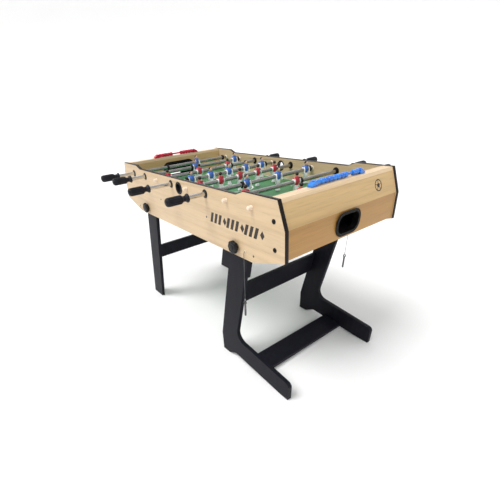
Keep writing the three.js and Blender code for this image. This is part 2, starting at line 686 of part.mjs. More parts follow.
// A clamping knob outside the panel, with the stud that the leg swings on.
function knob(end, side) {
  const face = OUTER_Y + 2 * SEAM;
  const cap = face + KNOB_DEPTH;
  const studEnd = LEG_INNER_Y - DOUBLER_THICKNESS;
  const solid = turnedY([
    [0, studEnd], [STUD_RADIUS, studEnd], [STUD_RADIUS, face], [KNOB_NECK_RADIUS, face],
    [KNOB_NECK_RADIUS, face + KNOB_NECK_LENGTH], [KNOB_RADIUS, face + KNOB_NECK_LENGTH],
    [KNOB_RADIUS, cap - KNOB_EDGE], [KNOB_RADIUS - KNOB_EDGE, cap], [0, cap],
  ], KNOB_SIDES);
  return (side > 0 ? solid : solid.rotate([0, 0, 180])).translate([end * PIVOT_X, 0, PIVOT_Z]);
}

// Scorers: a rod on two brackets on the top rail, and beads that slide along it as one stack.

function scorerX(end) {
  return end * (GOAL_WALL_X + SCORER_FROM_WALL);
}

function scorerRodZ() {
  return TOP_Z + SEAM + SCORER_BEAD_RADIUS + RUNNING_GAP;
}

function scorerRail(end) {
  const half = SCORER_LENGTH / 2;
  const rodEnd = half - SCORER_ROD_SINK;
  const z = scorerRodZ();
  const top = z + SCORER_BEAD_RADIUS - SCORER_BRACKET_BELOW_BEADS;
  const width = SCORER_BRACKET_WIDTH / 2;
  const bracket = (y) => block([-width, y, TOP_Z + SEAM], [width, y + SCORER_BRACKET_LENGTH, top]);
  const rod = turnedY([
    [0, -rodEnd], [SCORER_ROD_RADIUS, -rodEnd], [SCORER_ROD_RADIUS, rodEnd], [0, rodEnd],
  ]).translate([0, 0, z]);
  const rail = join([bracket(-half), bracket(half - SCORER_BRACKET_LENGTH), rod]);
  return rail.translate([scorerX(end), 0, 0]);
}

// A stack of beads, which starts at the bracket on one side and reaches towards the middle.
function scorerBeads(end, side, { count, apart }) {
  const pitch = SCORER_BEAD_LENGTH + apart;
  const last = SCORER_LENGTH / 2 - SCORER_BRACKET_LENGTH - SEAM;
  const first = last - count * pitch + apart;
  const bore = boreRadius(SCORER_ROD_RADIUS, RUNNING_GAP);
  const spacer = SCORER_ROD_RADIUS + SCORER_SPACER_WALL;
  const profile = [[bore, first]];
  for (let i = 0; i < count; i += 1) {
    const low = first + i * pitch;
    const high = low + SCORER_BEAD_LENGTH;
    profile.push([SCORER_BEAD_RADIUS - SCORER_BEAD_EDGE, low]);
    profile.push([SCORER_BEAD_RADIUS, low + SCORER_BEAD_EDGE]);
    profile.push([SCORER_BEAD_RADIUS, high - SCORER_BEAD_EDGE]);
    if (apart > 0 && i < count - 1) {
      profile.push([SCORER_BEAD_RADIUS - SCORER_BEAD_EDGE, high]);
      profile.push([spacer, high], [spacer, high + apart]);
    }
  }
  profile.push([SCORER_BEAD_RADIUS - SCORER_BEAD_EDGE, last], [bore, last], [bore, first]);
  const stack = turnedY(profile);
  return (side > 0 ? stack : stack.rotate([0, 0, 180])).translate([scorerX(end), 0, scorerRodZ()]);
}

// A lock pin hangs on a thin wire that comes out of a hole in the side panel.

function lanyardWire(side) {
  const points = WIRE_ROUTE.map(([out, drop]) => (
    new THREE.Vector3(LANYARD_X, side * (OUTER_Y + out), WIRE_EXIT_Z - drop)));
  const section = new THREE.Shape(Array.from({ length: WIRE_SIDES }, (_, i) => {
    const angle = i * 2 * Math.PI / WIRE_SIDES;
    return new THREE.Vector2(WIRE_RADIUS * Math.cos(angle), WIRE_RADIUS * Math.sin(angle));
  }));
  const path = new THREE.CatmullRomCurve3(points, false, 'centripetal');
  const options = { steps: WIRE_STEPS, extrudePath: path, bevelEnabled: false };
  return toSolid(new THREE.ExtrudeGeometry(section, options));
}

function lockPin(side) {
  const eyeZ = WIRE_EXIT_Z - WIRE_END_DROP - SEAM - PIN_EYE_RADIUS;
  const half = PIN_EYE_THICKNESS / 2;
  const hole = drillY(PIN_EYE_RADIUS - PIN_EYE_WALL, -half - 1, half + 1, 0, eyeZ, PIN_SIDES);
  const eye = drillY(PIN_EYE_RADIUS, -half, half, 0, eyeZ, PIN_SIDES).subtract(hole);
  const shank = turnedY([
    [0, 0], [PIN_RADIUS - PIN_POINT, 0], [PIN_RADIUS, 2 * PIN_POINT], [PIN_RADIUS, PIN_LENGTH],
    [0, PIN_LENGTH],
  ]).rotate([90, 0, 0]).translate([0, 0, eyeZ - PIN_EYE_RADIUS + PIN_POINT - PIN_LENGTH]);
  return eye.add(shank).translate([LANYARD_X, side * (OUTER_Y + WIRE_END_OUT), 0]);
}

// Assembly

SIDES.forEach(([name, side]) => {
  addPart(`${name}_side_panel`, sidePanel(side), WOOD);
  addPart(`${name}_ball_entry_ring`, ballEntryRing(side), BLACK_PLASTIC);
  addPart(`${name}_l_leg`, lLeg(side), BLACK_BOARD);
  addPart(`${name}_straight_leg`, straightLeg(side), BLACK_BOARD);
  addPart(`${name}_lanyard_wire`, lanyardWire(side), STEEL);
  addPart(`${name}_lock_pin`, lockPin(side), STEEL);
  ENDS.forEach(([endName, end]) => {
    addPart(`${name}_${endName}_knob`, knob(end, side), BLACK_PLASTIC);
  });
});

ENDS.forEach(([name, end]) => {
  addPart(`${name}_top_rail`, topRail(end), END_WOOD);
  addPart(`${name}_upper_end_board`, upperEndBoard(end), END_WOOD);
  addPart(`${name}_lower_end_board`, lowerEndBoard(end), END_WOOD);
  addPart(`${name}_goal_wall`, goalWall(end), END_WOOD);
  addPart(`${name}_ball_return_cup`, ballReturnCup(end), BLACK_PLASTIC);
  const team = end > 0 ? 'blue' : 'red';
  addPart(`${team}_scorer_rail`, scorerRail(end), TEAM[team]);
  SIDES.forEach(([sideName, side], i) => {
    const beads = scorerBeads(end, side, SCORER_BEADS[team][i]);
    addPart(`${team}_scorer_${sideName}_beads`, beads, TEAM[team]);
  });
});

addPart('playfield', playfield(), GREEN);
addPart('l_frame_upper_stretcher', leaningStretcher(PIVOT_X, L_LEG_LEAN,
  UPPER_STRETCHER_INSET - LEG_WIDTH / 2, UPPER_STRETCHER_DROP, UPPER_STRETCHER_HEIGHT), BLACK_BOARD);
addPart('l_frame_lower_stretcher', lowerStretcher(), BLACK_BOARD);
addPart('straight_frame_stretcher', leaningStretcher(-PIVOT_X, STRAIGHT_LEG_LEAN,
  -STRETCHER_THICKNESS / 2, STRAIGHT_STRETCHER_DROP, STRAIGHT_STRETCHER_HEIGHT), BLACK_BOARD);

RODS.forEach((rod, i) => {
  const name = `rod_${i + 1}`;
  addPart(`${name}_shaft`, placeRod(shaft(), rod, i), CHROME);
  addPart(`${name}_tube_with_players`, placeRod(tubeWithPlayers(rod), rod, i), TEAM[rod.team]);
  addPart(`${name}_handle`, placeRod(handle(rod), rod, i), BLACK_PLASTIC);
});

// The footprint runs from the cabinet's left end to the toes of the L legs.
table.position.x = -(PIVOT_X + L_FOOT_REACH - END_X) / 2;

export default table;
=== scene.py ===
"""Looks for a folding foosball table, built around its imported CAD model. Metres, +Z up."""
import json
from math import atan2, copysign, cos, pi, radians, sin, tan

import bmesh
import bpy
from mathutils import Matrix, Vector


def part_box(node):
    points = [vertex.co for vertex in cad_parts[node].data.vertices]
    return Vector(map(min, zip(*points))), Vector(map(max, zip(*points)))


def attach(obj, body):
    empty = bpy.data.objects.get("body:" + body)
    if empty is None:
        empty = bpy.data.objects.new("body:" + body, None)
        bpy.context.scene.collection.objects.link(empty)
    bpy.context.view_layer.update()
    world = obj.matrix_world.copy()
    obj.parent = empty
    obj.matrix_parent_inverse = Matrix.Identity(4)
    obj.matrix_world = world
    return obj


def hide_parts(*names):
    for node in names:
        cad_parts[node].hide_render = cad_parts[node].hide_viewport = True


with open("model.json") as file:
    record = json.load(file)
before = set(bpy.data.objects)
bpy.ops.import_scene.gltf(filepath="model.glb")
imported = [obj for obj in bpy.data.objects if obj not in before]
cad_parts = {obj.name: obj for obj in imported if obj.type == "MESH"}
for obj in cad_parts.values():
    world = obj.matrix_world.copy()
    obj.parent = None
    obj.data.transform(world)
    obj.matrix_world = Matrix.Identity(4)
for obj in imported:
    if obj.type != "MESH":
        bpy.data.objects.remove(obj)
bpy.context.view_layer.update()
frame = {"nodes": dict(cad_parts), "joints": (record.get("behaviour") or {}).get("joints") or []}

MM = 0.001
NEAR, FAR = -1, 1
SIDES = {"near": NEAR, "far": FAR}
ENDS = {"left": -1, "right": 1}

# Places read from the CAD frame
panel_low, panel_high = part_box("near_side_panel")
CENTRE_X = (panel_low.x + panel_high.x) / 2
HALF_LENGTH = (panel_high.x - panel_low.x) / 2
OUTER_Y = -panel_low.y
INNER_Y = -panel_high.y
PANEL_THICKNESS = OUTER_Y - INNER_Y
BOARD_THICKNESS = 12 * MM
BOTTOM_Z = panel_low.z
TOP_Z = panel_high.z
field_low, field_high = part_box("playfield")
FIELD_Z = field_high.z

# The side panels' outline, as in the CAD model
TOP_INSET = 41.5 * MM
KINK_INSET = 6 * MM
KINK_Z = BOTTOM_Z + 145 * MM
LOW_CORNER_Z = BOTTOM_Z + 46 * MM
STEP_INSET = 154 * MM
STEP_RUN = 38 * MM
CENTRE_TOP_Z = TOP_Z - 14 * MM

# Rods, from the left: how many players each carries, and the sizes that the CAD model gives them
PLAYERS = (1, 2, 3, 5, 5, 3, 2, 1)
TEAMS = ("blue", "blue", "red", "blue", "red", "blue", "red", "red")
PLAYER_ROW_MARGIN = 55 * MM
TUBE_RADIUS = 8 * MM
SHAFT_RADIUS = 6.3 * MM
TUBE_BORE = 6.7 * MM
TUBE_EASE = 0.4 * MM
BUMPER_LENGTH = 10 * MM
HANDLE_BORE, HANDLE_LENGTH = 8.1, 92  # in mm

# The goal mouth, the printed lines and the scorer's beads
GOAL_WIDTH, GOAL_HEIGHT, GOAL_CORNER = 184 * MM, 67 * MM, 26 * MM
LINE_WIDTH, HALFWAY_WIDTH = 6 * MM, 10 * MM
PAINT_THICKNESS = 0.06 * MM
PAINT_LIFT, PAINT_STEP = 0.12, 0.04  # in mm
BEAD_COUNTS = {"blue": {"near": 8, "far": 2}, "red": {"near": 5, "far": 5}}
BEAD_LENGTH = 17.4 * MM
BEAD_BORE = 4.35 * MM
SPACER_RADIUS = 5.8 * MM

# The wood foil's cycles per metre across the grain, and its stretch along the grain
BAND_SCALE, STREAK_SCALE, PORE_SCALE = 9, 70, 320
GRAIN_STRETCH = 0.045

# Lock pin lanyards: the wire's route out from the panel's face and down from its hole, in mm
WIRE_ROUTE = (
    (-4, 0), (-1, 0), (2, 0.6), (4.5, 2.6), (5.8, 6), (6, 12), (6, 22), (6, 34), (6, 48), (6, 64),
    (6, 82), (6, 100), (6, 120), (6, 140), (6, 160), (6, 178), (6, 192), (6, 204),
)
WIRE_DIAMETER = 2 * MM
WIRE_EXIT_Z = BOTTOM_Z + 30 * MM

# Camera
CAMERA_PLACE = (1.198, -0.9498, 1.0324)
CAMERA_AZIMUTH = 55.78
CAMERA_ELEVATION = 34.04
CAMERA_ROLL = -4.32
CAMERA_LENS = 22.32
CAMERA_SHIFT = (0.0514, 0.1214)


def linked(name, data):
    """A new object in the scene."""
    obj = bpy.data.objects.new(name, data)
    bpy.context.collection.objects.link(obj)
    return obj


def make_camera():
    azimuth, elevation = radians(CAMERA_AZIMUTH), radians(CAMERA_ELEVATION)
    roll = radians(CAMERA_ROLL)
    back = Vector((sin(azimuth) * cos(elevation),
                   -cos(azimuth) * cos(elevation), sin(elevation)))
    right = Vector((cos(azimuth), sin(azimuth), 0))
    up = back.cross(right)
    rolled_right = cos(roll) * right + sin(roll) * up
    rolled_up = cos(roll) * up - sin(roll) * right
    camera = linked("camera", bpy.data.cameras.new("camera"))
    camera.data.lens = CAMERA_LENS
    camera.data.sensor_width = 36
    camera.data.shift_x, camera.data.shift_y = CAMERA_SHIFT
    turn = Matrix((rolled_right, rolled_up, back)).transposed()
    camera.matrix_world = Matrix.Translation(CAMERA_PLACE) @ turn.to_4x4()
    bpy.context.scene.camera = camera


# Materials


def srgb(red, green, blue):
    """A colour from 0-255 screen values."""
    linear = [c / 12.92 if c <= 0.04045 else ((c + 0.055) / 1.055) ** 2.4 for c in
              (red / 255, green / 255, blue / 255)]
    return (*linear, 1)


class Nodes:
    """Builds a material's node tree around one Principled shader."""

    def __init__(self, name, **uniform):
        self.material = bpy.data.materials.new(name)
        self.material.use_nodes = True
        self.tree = self.material.node_tree
        self.shader = self.tree.nodes["Principled BSDF"]
        self.set_inputs(self.shader, uniform)
        self.place = self.tree.nodes.new("ShaderNodeTexCoord").outputs["Object"]

    @staticmethod
    def set_inputs(node, values):
        for socket, value in values.items():
            node.inputs[socket.replace("_", " ")].default_value = value

    def node(self, kind, **values):
        node = self.tree.nodes.new(f"ShaderNode{kind}")
        self.set_inputs(node, values)
        return node

    def link(self, source, target):
        self.tree.links.new(source, target)

    def noise(self, scale, detail, roughness=0.55, distortion=0, shift=(0, 0, 0)):
        """Noise at its own scale along each axis, in cycles per metre."""
        mapping = self.node("Mapping", Scale=scale, Location=shift)
        self.link(self.place, mapping.inputs["Vector"])
        node = self.node("TexNoise", Scale=1, Detail=detail, Roughness=roughness,
                         Distortion=distortion)
        self.link(mapping.outputs["Vector"], node.inputs["Vector"])
        return node.outputs["Fac"]

    def ramp(self, value, *stops):
        """Colours at places from 0 to 1 along a value."""
        node = self.node("ValToRGB")
        elements = node.color_ramp.elements
        while len(elements) < len(stops):
            elements.new(0.5)
        for element, (place, colour) in zip(elements, stops):
            element.position = place
            element.color = colour
        self.link(value, node.inputs["Fac"])
        return node.outputs["Color"]

    def mix(self, factor, first, second, blend="MIX"):
        node = self.node("Mix")
        node.data_type = "RGBA"
        node.blend_type = blend
        for index, value in ((0, factor), (6, first), (7, second)):
            socket = node.inputs[index]
            if isinstance(value, bpy.types.NodeSocket):
                self.link(value, socket)
            else:
                socket.default_value = value
        return node.outputs[2]

    def spread(self, value, low, high):
        """Maps a 0-1 value to a range."""
        node = self.node("MapRange", To_Min=low, To_Max=high)
        self.link(value, node.inputs["Value"])
        return node.outputs["Result"]

    def bump(self, value, distance, strength=1.0):
        node = self.node("Bump", Strength=strength, Distance=distance)
        self.link(value, node.inputs["Height"])
        self.link(node.outputs["Normal"], self.shader.inputs["Normal"])

    def colour(self, source):
        self.link(source, self.shader.inputs["Base Color"])

    def roughness(self, value, low, high):
        self.link(self.spread(value, low, high), self.shader.inputs["Roughness"])


def grey(level):
    return (level, level, level, 1)


def wood(name, light, dark, along, shift):
    """Printed wood foil, grained along one axis: broad flowing bands, fine streaks and pores."""
    nodes = Nodes(name, Coat_Weight=0.12, Coat_Roughness=0.35)
    stretch = [1.0, 1.0, 1.0]
    stretch[along] = GRAIN_STRETCH
    bands = nodes.noise([s * BAND_SCALE for s in stretch], 3, 0.5, 1.2, shift)
    streaks = nodes.noise([s * STREAK_SCALE for s in stretch], 5, 0.62, 0.3, shift)
    pores = nodes.noise([s * PORE_SCALE for s in stretch], 2, 0.5, 0, shift)
    light, dark = srgb(*light), srgb(*dark)
    broad = nodes.ramp(bands, (0.34, dark), (0.52, light), (0.70, dark))
    base = nodes.mix(0.45, light, broad)
    fine = nodes.ramp(streaks, (0.30, grey(0.80)), (0.62, grey(1.0)))
    base = nodes.mix(0.75, base, fine, "MULTIPLY")
    dots = nodes.ramp(pores, (0.33, grey(0.84)), (0.42, grey(1.0)))
    nodes.colour(nodes.mix(0.6, base, dots, "MULTIPLY"))
    nodes.roughness(streaks, 0.36, 0.52)
    nodes.bump(pores, 0.05 * MM, 0.5)
    return nodes.material


def black_board():
    """Black laminated board: a faint straight grain and a soft blue-grey sheen."""
    nodes = Nodes("black_board", Specular_IOR_Level=0.12)
    grain = nodes.noise((60, 60, 6), 4, 0.6, 0.4)
    speckle = nodes.noise((900, 900, 900), 2)
    nodes.colour(nodes.ramp(grain, (0.3, srgb(19, 19, 26)), (0.7, srgb(28, 28, 37))))
    nodes.roughness(grain, 0.40, 0.55)
    nodes.bump(speckle, 0.04 * MM, 0.6)
    return nodes.material


def moulded(name, light, dark, low, high, texture=0.05, cloud=(40, 3), grain=1400, **uniform):
    """A smooth material: a slight cloudiness in the colour and a fine texture. Cloud is its scale
    and detail, and texture is in mm."""
    nodes = Nodes(name, **uniform)
    clouds = nodes.noise((cloud[0],) * 3, cloud[1])
    grains = nodes.noise((grain,) * 3, 2)
    nodes.colour(nodes.ramp(clouds, (0.3, srgb(*dark)), (0.7, srgb(*light))))
    nodes.roughness(clouds, low, high)
    nodes.bump(grains, texture * MM, 0.5)
    return nodes.material


def metal(name, light, dark, low, high, along):
    """Plated metal with fine drawing lines along one axis."""
    nodes = Nodes(name, Metallic=1.0)
    stretch = [1.0, 1.0, 1.0]
    stretch[along] = 0.02
    lines = nodes.noise([s * 900 for s in stretch], 3)
    cloud = nodes.noise((30, 30, 30), 3)
    nodes.colour(nodes.ramp(cloud, (0.3, dark), (0.7, light)))
    nodes.roughness(lines, low, high)
    nodes.bump(lines, 0.01 * MM, 0.3)
    return nodes.material


SIDE_WOOD = wood("side_wood", (215, 188, 151), (196, 165, 122), 0, (3.1, 0.7, 1.9))
END_WOOD = wood("end_wood", (212, 180, 129), (178, 142, 88), 1, (0.3, 2.2, 5.4))
# Painted shade: the lower end boards take a darker copy of the end boards' wood, for the lesser
# light that falls on them
LOWER_WOOD_PAINTED_SHADE = wood("lower_wood_painted_shade", (184, 138, 74), (152, 108, 48), 1, (1.3, 4.2, 0.4))
RAIL_WOOD = wood("rail_wood", (236, 208, 170), (216, 182, 136), 1, (2.3, 1.2, 3.4))
BLACK_BOARD = black_board()
FIELD_GREEN = moulded("field_green", (62, 136, 84), (50, 118, 72), 0.42, 0.56, 0.03, (7, 4),
                      700, Coat_Weight=0.25, Coat_Roughness=0.3)
BLACK_PLASTIC = moulded("black_plastic", (18, 18, 21), (9, 9, 11), 0.28, 0.42,
                        Specular_IOR_Level=0.25)
BLACK_RUBBER = moulded("black_rubber", (24, 23, 23), (15, 14, 14), 0.60, 0.75, 0.09,
                       Specular_IOR_Level=0.3)
EDGE_BLACK = moulded("edge_black", (30, 22, 21), (18, 13, 12), 0.34, 0.48, Specular_IOR_Level=0.2)
GRIP_BLACK = moulded("grip_black", (22, 23, 32), (11, 11, 17), 0.34, 0.48,
                     Specular_IOR_Level=0.25)
CUP_BLACK = moulded("cup_black", (20, 17, 15), (10, 9, 8), 0.42, 0.56, Specular_IOR_Level=0.12)
CREAM_PLASTIC = moulded("cream_plastic", (240, 226, 208), (228, 211, 188), 0.30, 0.42)
BLUE_PLASTIC = moulded("blue_plastic", (44, 136, 232), (24, 104, 212), 0.16, 0.26, 0.03,
                       Coat_Weight=0.4)
RED_PLASTIC = moulded("red_plastic", (208, 30, 64), (176, 18, 48), 0.18, 0.28, 0.03,
                      Coat_Weight=0.3)
SHIRT_BLUE = moulded("shirt_blue", (70, 120, 202), (44, 90, 180), 0.20, 0.32, 0.03,
                     Coat_Weight=0.3)
SHIRT_RED = moulded("shirt_red", (206, 44, 66), (170, 26, 48), 0.20, 0.32, 0.03, Coat_Weight=0.3)
WHITE_PAINT = moulded("white_paint", (252, 252, 252), (242, 242, 244), 0.30, 0.42)
SKIN = moulded("skin_paint", (236, 196, 168), (224, 180, 150), 0.40, 0.52)
HAIR = moulded("hair_paint", (34, 24, 20), (22, 15, 13), 0.42, 0.56)
BOOT = moulded("boot_paint", (246, 246, 248), (232, 232, 236), 0.32, 0.46)
FEATURE_PAINT = moulded("feature_paint", (70, 40, 34), (56, 30, 26), 0.42, 0.55)
CHROME = metal("chrome", (0.50, 0.49, 0.48, 1), (0.36, 0.355, 0.35, 1), 0.12, 0.24, 1)
# A brighter copy of the chrome: painted light on the rods' tubes outside the cabinet
CHROME_PAINTED_LIGHT = metal("chrome_painted_light", (0.78, 0.76, 0.73, 1), (0.60, 0.585, 0.56, 1), 0.10, 0.20, 1)
ZINC = metal("zinc", (0.40, 0.41, 0.43, 1), (0.28, 0.29, 0.31, 1), 0.26, 0.42, 2)
DARK_STEEL = metal("dark_steel", (0.16, 0.16, 0.17, 1), (0.10, 0.10, 0.11, 1), 0.34, 0.50, 2)
LINE_WHITE = moulded("line_white", (236, 240, 236), (220, 226, 220), 0.42, 0.55)
PRINT_BLACK = moulded("print_black", (48, 36, 28), (34, 26, 20), 0.45, 0.60)
TEAM_PLASTIC = {"blue": BLUE_PLASTIC, "red": RED_PLASTIC}
TEAM_SHIRT = {"blue": SHIRT_BLUE, "red": SHIRT_RED}


# Geometry


def finish_mesh(obj, angle):
    """Merges doubled points, turns the faces out and shades smoothly below an edge angle."""
    shape = bmesh.new()
    shape.from_mesh(obj.data)
    bmesh.ops.remove_doubles(shape, verts=shape.verts, dist=1e-6)
    bmesh.ops.recalc_face_normals(shape, faces=shape.faces)
    shape.to_mesh(obj.data)
    shape.free()
    obj.data.shade_smooth()
    obj.data.set_sharp_from_angle(angle=radians(angle))


def piece(name, points, faces, material, angle=32):
    mesh = bpy.data.meshes.new(name)
    mesh.from_pydata([Vector(p) for p in points], [], faces)
    mesh.materials.append(material)
    obj = linked(name, mesh)
    finish_mesh(obj, angle)
    return obj


def bevel(obj, width, segments=2):
    modifier = obj.modifiers.new("bevel", "BEVEL")
    modifier.width = width
    modifier.segments = segments
    modifier.limit_method = "ANGLE"
    modifier.angle_limit = radians(30)
    modifier.harden_normals = False
    return obj


def stack_rings(rings, closed=False):
    """Faces between rings of equal size, with the end rings capped or joined to each other."""
    size = len(rings[0])
    points = [p for ring in rings for p in ring]
    count = len(rings)
    faces = []
    for i in range(count if closed else count - 1):
        a, b = i * size, (i + 1) % count * size
        faces += [(a + k, a + (k + 1) % size, b + (k + 1) % size, b + k) for k in range(size)]
    if not closed:
        faces.append(tuple(reversed(range(size))))
        faces.append(tuple(range((count - 1) * size, count * size)))
    return points, faces


def turned(name, profile, material, sides=48, closed=False, scale=None, angle=32):
    """A piece turned about Y from (y, radius) pairs, its radius shaped by scale(turn, y)."""
    rings = []
    for y, radius in profile:
        ring = []
        for k in range(sides):
            turn = 2 * pi * k / sides
            r = max(radius, 1e-6) * (scale(turn, y) if scale else 1)
            ring.append((r * cos(turn), y, r * sin(turn)))
        rings.append(ring)
    points, faces = stack_rings(rings, closed)
    return piece(name, points, faces, material, angle)


def rounded(points, steps=8):
    """Rounds an outline's corners: each point is (u, v, radius), with the radius optional."""
    outline = []
    for i, point in enumerate(points):
        corner = Vector(point[:2])
        radius = point[2] if len(point) > 2 else 0
        if radius == 0:
            outline.append(tuple(corner))
            continue
        before = (Vector(points[i - 1][:2]) - corner).normalized()
        after = (Vector(points[(i + 1) % len(points)][:2]) - corner).normalized()
        half = before.angle(after) / 2
        centre = corner + (before + after).normalized() * radius / sin(half)
        start = corner + before * radius / tan(half) - centre
        end = corner + after * radius / tan(half) - centre
        turn = atan2(start.x * end.y - start.y * end.x, start.dot(end))
        for k in range(steps + 1):
            a = turn * k / steps
            outline.append((centre.x + start.x * cos(a) - start.y * sin(a),
                            centre.y + start.x * sin(a) + start.y * cos(a)))
    return outline


def rounded_box(width, height, radius):
    w, h = width / 2, height / 2
    return rounded([(-w, -h, radius), (w, -h, radius), (w, h, radius), (-w, h, radius)])


def place_point(axis, u, v, along):
    """A point from outline coordinates and a distance along the axis that the outline faces."""
    return {"x": (along, u, v), "y": (u, along, v)}[axis]


def prism(name, outline, low, high, axis, material):
    rings = [[place_point(axis, u, v, level) for u, v in outline] for level in (low, high)]
    points, faces = stack_rings(rings)
    return piece(name, points, faces, material)


def ring_band(name, outline_levels, axis, material):
    """A ring-shaped trim: each entry is (outline, level), and the last joins the first."""
    rings = [[place_point(axis, u, v, level) for u, v in outline]
             for outline, level in outline_levels]
    points, faces = stack_rings(rings, closed=True)
    return piece(name, points, faces, material, 40)


def joined(name, pieces):
    """Joins mesh pieces into one, keeping their materials. Modifiers are applied first."""
    graph = bpy.context.evaluated_depsgraph_get()
    shape = bmesh.new()
    materials = []
    for obj in pieces:
        mesh = bpy.data.meshes.new_from_object(obj.evaluated_get(graph))
        mesh.transform(obj.matrix_world)
        slots = []
        for material in obj.data.materials:
            if material not in materials:
                materials.append(material)
            slots.append(materials.index(material))
        first = len(shape.faces)
        shape.from_mesh(mesh)
        shape.faces.ensure_lookup_table()
        for face in shape.faces[first:]:
            face.material_index = slots[face.material_index]
        bpy.data.meshes.remove(mesh)
        bpy.data.objects.remove(obj)
    result = bpy.data.meshes.new(name)
    shape.to_mesh(result)
    shape.free()
    for material in materials:
        result.materials.append(material)
    obj = linked(name, result)
    return obj


def moved(obj, x=0, y=0, z=0, half_turn=False):
    """Moves a piece's own points, turned half round about Z first where asked."""
    turn = Matrix.Rotation(pi, 4, "Z") if half_turn else Matrix.Identity(4)
    obj.data.transform(Matrix.Translation((x, y, z)) @ turn)
    obj.data.update()
    return obj


def seated(obj, side, x, z, y=0):
    """Moves a piece that was made facing the far side into place, facing its own side."""
    moved(obj, half_turn=side < 0)
    return moved(obj, x, y, z)


def in_mm(pairs):
    return [(a * MM, b * MM) for a, b in pairs]


def add(obj, body, replaces=()):
    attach(obj, body)
    for node in replaces:
        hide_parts(node)
    return obj


def add_black(obj):
    """Black or printed trim that is fixed to the cabinet."""
    add(obj, "cabinet")


def finish_cad(node, material, width=0.6 * MM):
    """Gives a CAD node its material and slightly eased edges."""
    obj = frame["nodes"][node]
    obj.data.materials.clear()
    obj.data.materials.append(material)
    flat = obj.modifiers.new("merge_flat_faces", "DECIMATE")
    flat.decimate_type = "DISSOLVE"
    flat.angle_limit = radians(1)
    bevel(obj, width)
    return obj


# Lanyards


def make_lanyards():
    for side_name, side in SIDES.items():
        wire_low, wire_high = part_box(f"{side_name}_lanyard_wire")
        x = (wire_low.x + wire_high.x) / 2
        data = bpy.data.curves.new(f"{side_name}_wire", "CURVE")
        data.dimensions = "3D"
        data.bevel_depth = WIRE_DIAMETER / 2
        data.bevel_resolution = 3
        data.use_fill_caps = True
        spline = data.splines.new("NURBS")
        spline.points.add(len(WIRE_ROUTE) - 1)
        for point, (out, drop) in zip(spline.points, WIRE_ROUTE):
            point.co = (x, side * (OUTER_Y + out * MM), WIRE_EXIT_Z - drop * MM, 1)
        spline.order_u = 3
        spline.use_endpoint_u = True
        spline.resolution_u = 6
        data.materials.append(DARK_STEEL)
        wire = linked(f"{side_name}_wire", data)
        add(wire, "cabinet", [f"{side_name}_lanyard_wire"])
        pin = finish_cad(f"{side_name}_lock_pin", DARK_STEEL, 0.5 * MM)
        crimp = turned(f"{side_name}_wire_crimp",
                       in_mm([(0, 0.9), (0.2, 1.9), (8, 1.9), (8.2, 0.9)]), ZINC, 24)
        crimp.data.transform(Matrix.Rotation(radians(90), 4, "X"))
        hang_y = side * (OUTER_Y + WIRE_ROUTE[-1][0] * MM)
        moved(crimp, x, hang_y, wire_low.z + 2 * MM)
        add(crimp, "cabinet")
        eyelet = turned(f"{side_name}_wire_eyelet",
                        in_mm([(0, 1.6), (0, 3.6), (0.5, 3.8), (0.9, 3.3), (0.9, 1.6)]),
                        CREAM_PLASTIC, 32, closed=True)
        seated(eyelet, side, x, WIRE_EXIT_Z, side * OUTER_Y)
        add(eyelet, "cabinet")


# Cabinet


def panel_outline():
    """A side panel's visible edge, from its low right corner over the top to the low left one."""
    top_x = HALF_LENGTH - TOP_INSET
    step_out = top_x - STEP_INSET
    right = [
        (HALF_LENGTH, LOW_CORNER_Z), (HALF_LENGTH - KINK_INSET, KINK_Z), (top_x, TOP_Z),
        (step_out, TOP_Z), (step_out - STEP_RUN, CENTRE_TOP_Z),
    ]
    outline = right + [(-x, z) for x, z in reversed(right)]
    return [(CENTRE_X + x, z) for x, z in outline]


def edge_moulding(name, side):
    """Black edge moulding: a shallow domed strip swept round the panel's ends and top."""
    path = [Vector(p) for p in panel_outline()]
    width = PANEL_THICKNESS / 2 + 0.15 * MM
    section = [(-width, -0.5), (-width, 0.4), (-width + 0.9 * MM, 1.2), (-width / 2, 1.6),
               (0, 1.7), (width / 2, 1.6), (width - 0.9 * MM, 1.2), (width, 0.4), (width, -0.5)]
    middle = side * (OUTER_Y + INNER_Y) / 2
    rings = []
    for i, corner in enumerate(path):
        ways = []
        if i > 0:
            ways.append((corner - path[i - 1]).normalized())
        if i < len(path) - 1:
            ways.append((path[i + 1] - corner).normalized())
        normals = [Vector((w.y, -w.x)) for w in ways]
        mitre = sum(normals, Vector((0, 0))).normalized()
        stretch = 1 / max(mitre.dot(normals[0]), 0.5)
        ring = []
        for across, out in section:
            at = corner + mitre * out * MM * stretch
            ring.append((at.x, middle + across, at.y))
        rings.append(ring)
    points, faces = stack_rings(rings)
    return piece(name, points, faces, EDGE_BLACK, 50)


def make_bolt(name, x, z, side):
    """A bolt's domed head with a round recess, on a side panel."""
    radius, rise = 8 * MM, 3 * MM
    profile = [(-0.3 * MM, radius), (0.4 * MM, radius), (rise * 0.6, radius * 0.86),
               (rise * 0.92, radius * 0.62), (rise, radius * 0.42), (rise * 0.95, radius * 0.38),
               (rise * 0.35, radius * 0.36), (rise * 0.3, 0)]
    head = turned(name, profile, BLACK_PLASTIC, 36)
    return seated(head, side, x, z, side * OUTER_Y)


def make_screw(name, x, z, side):
    """A small low screw head with a zinc cross, on a side panel."""
    radius = 4 * MM
    disc = turned("disc", [(-0.2 * MM, radius), (0.25 * MM, radius * 0.96),
                           (0.45 * MM, radius * 0.7), (0.5 * MM, 0)], BLACK_PLASTIC, 28)
    long, short = 4.2 * MM, 0.9 * MM
    bars = [prism("bar", rounded_box(width, height, 0.3 * MM), -0.1 * MM, 0.62 * MM, "y", ZINC)
            for width, height in ((long, short), (short, long))]
    screw = joined(name, [disc, *bars])
    return seated(screw, side, x, z, side * OUTER_Y)


BOLT_PLACES = ((564 * MM, 727 * MM), (572 * MM, 638 * MM))
SCREW_PLACES = ((471 * MM, 585 * MM), (195 * MM, 663 * MM))


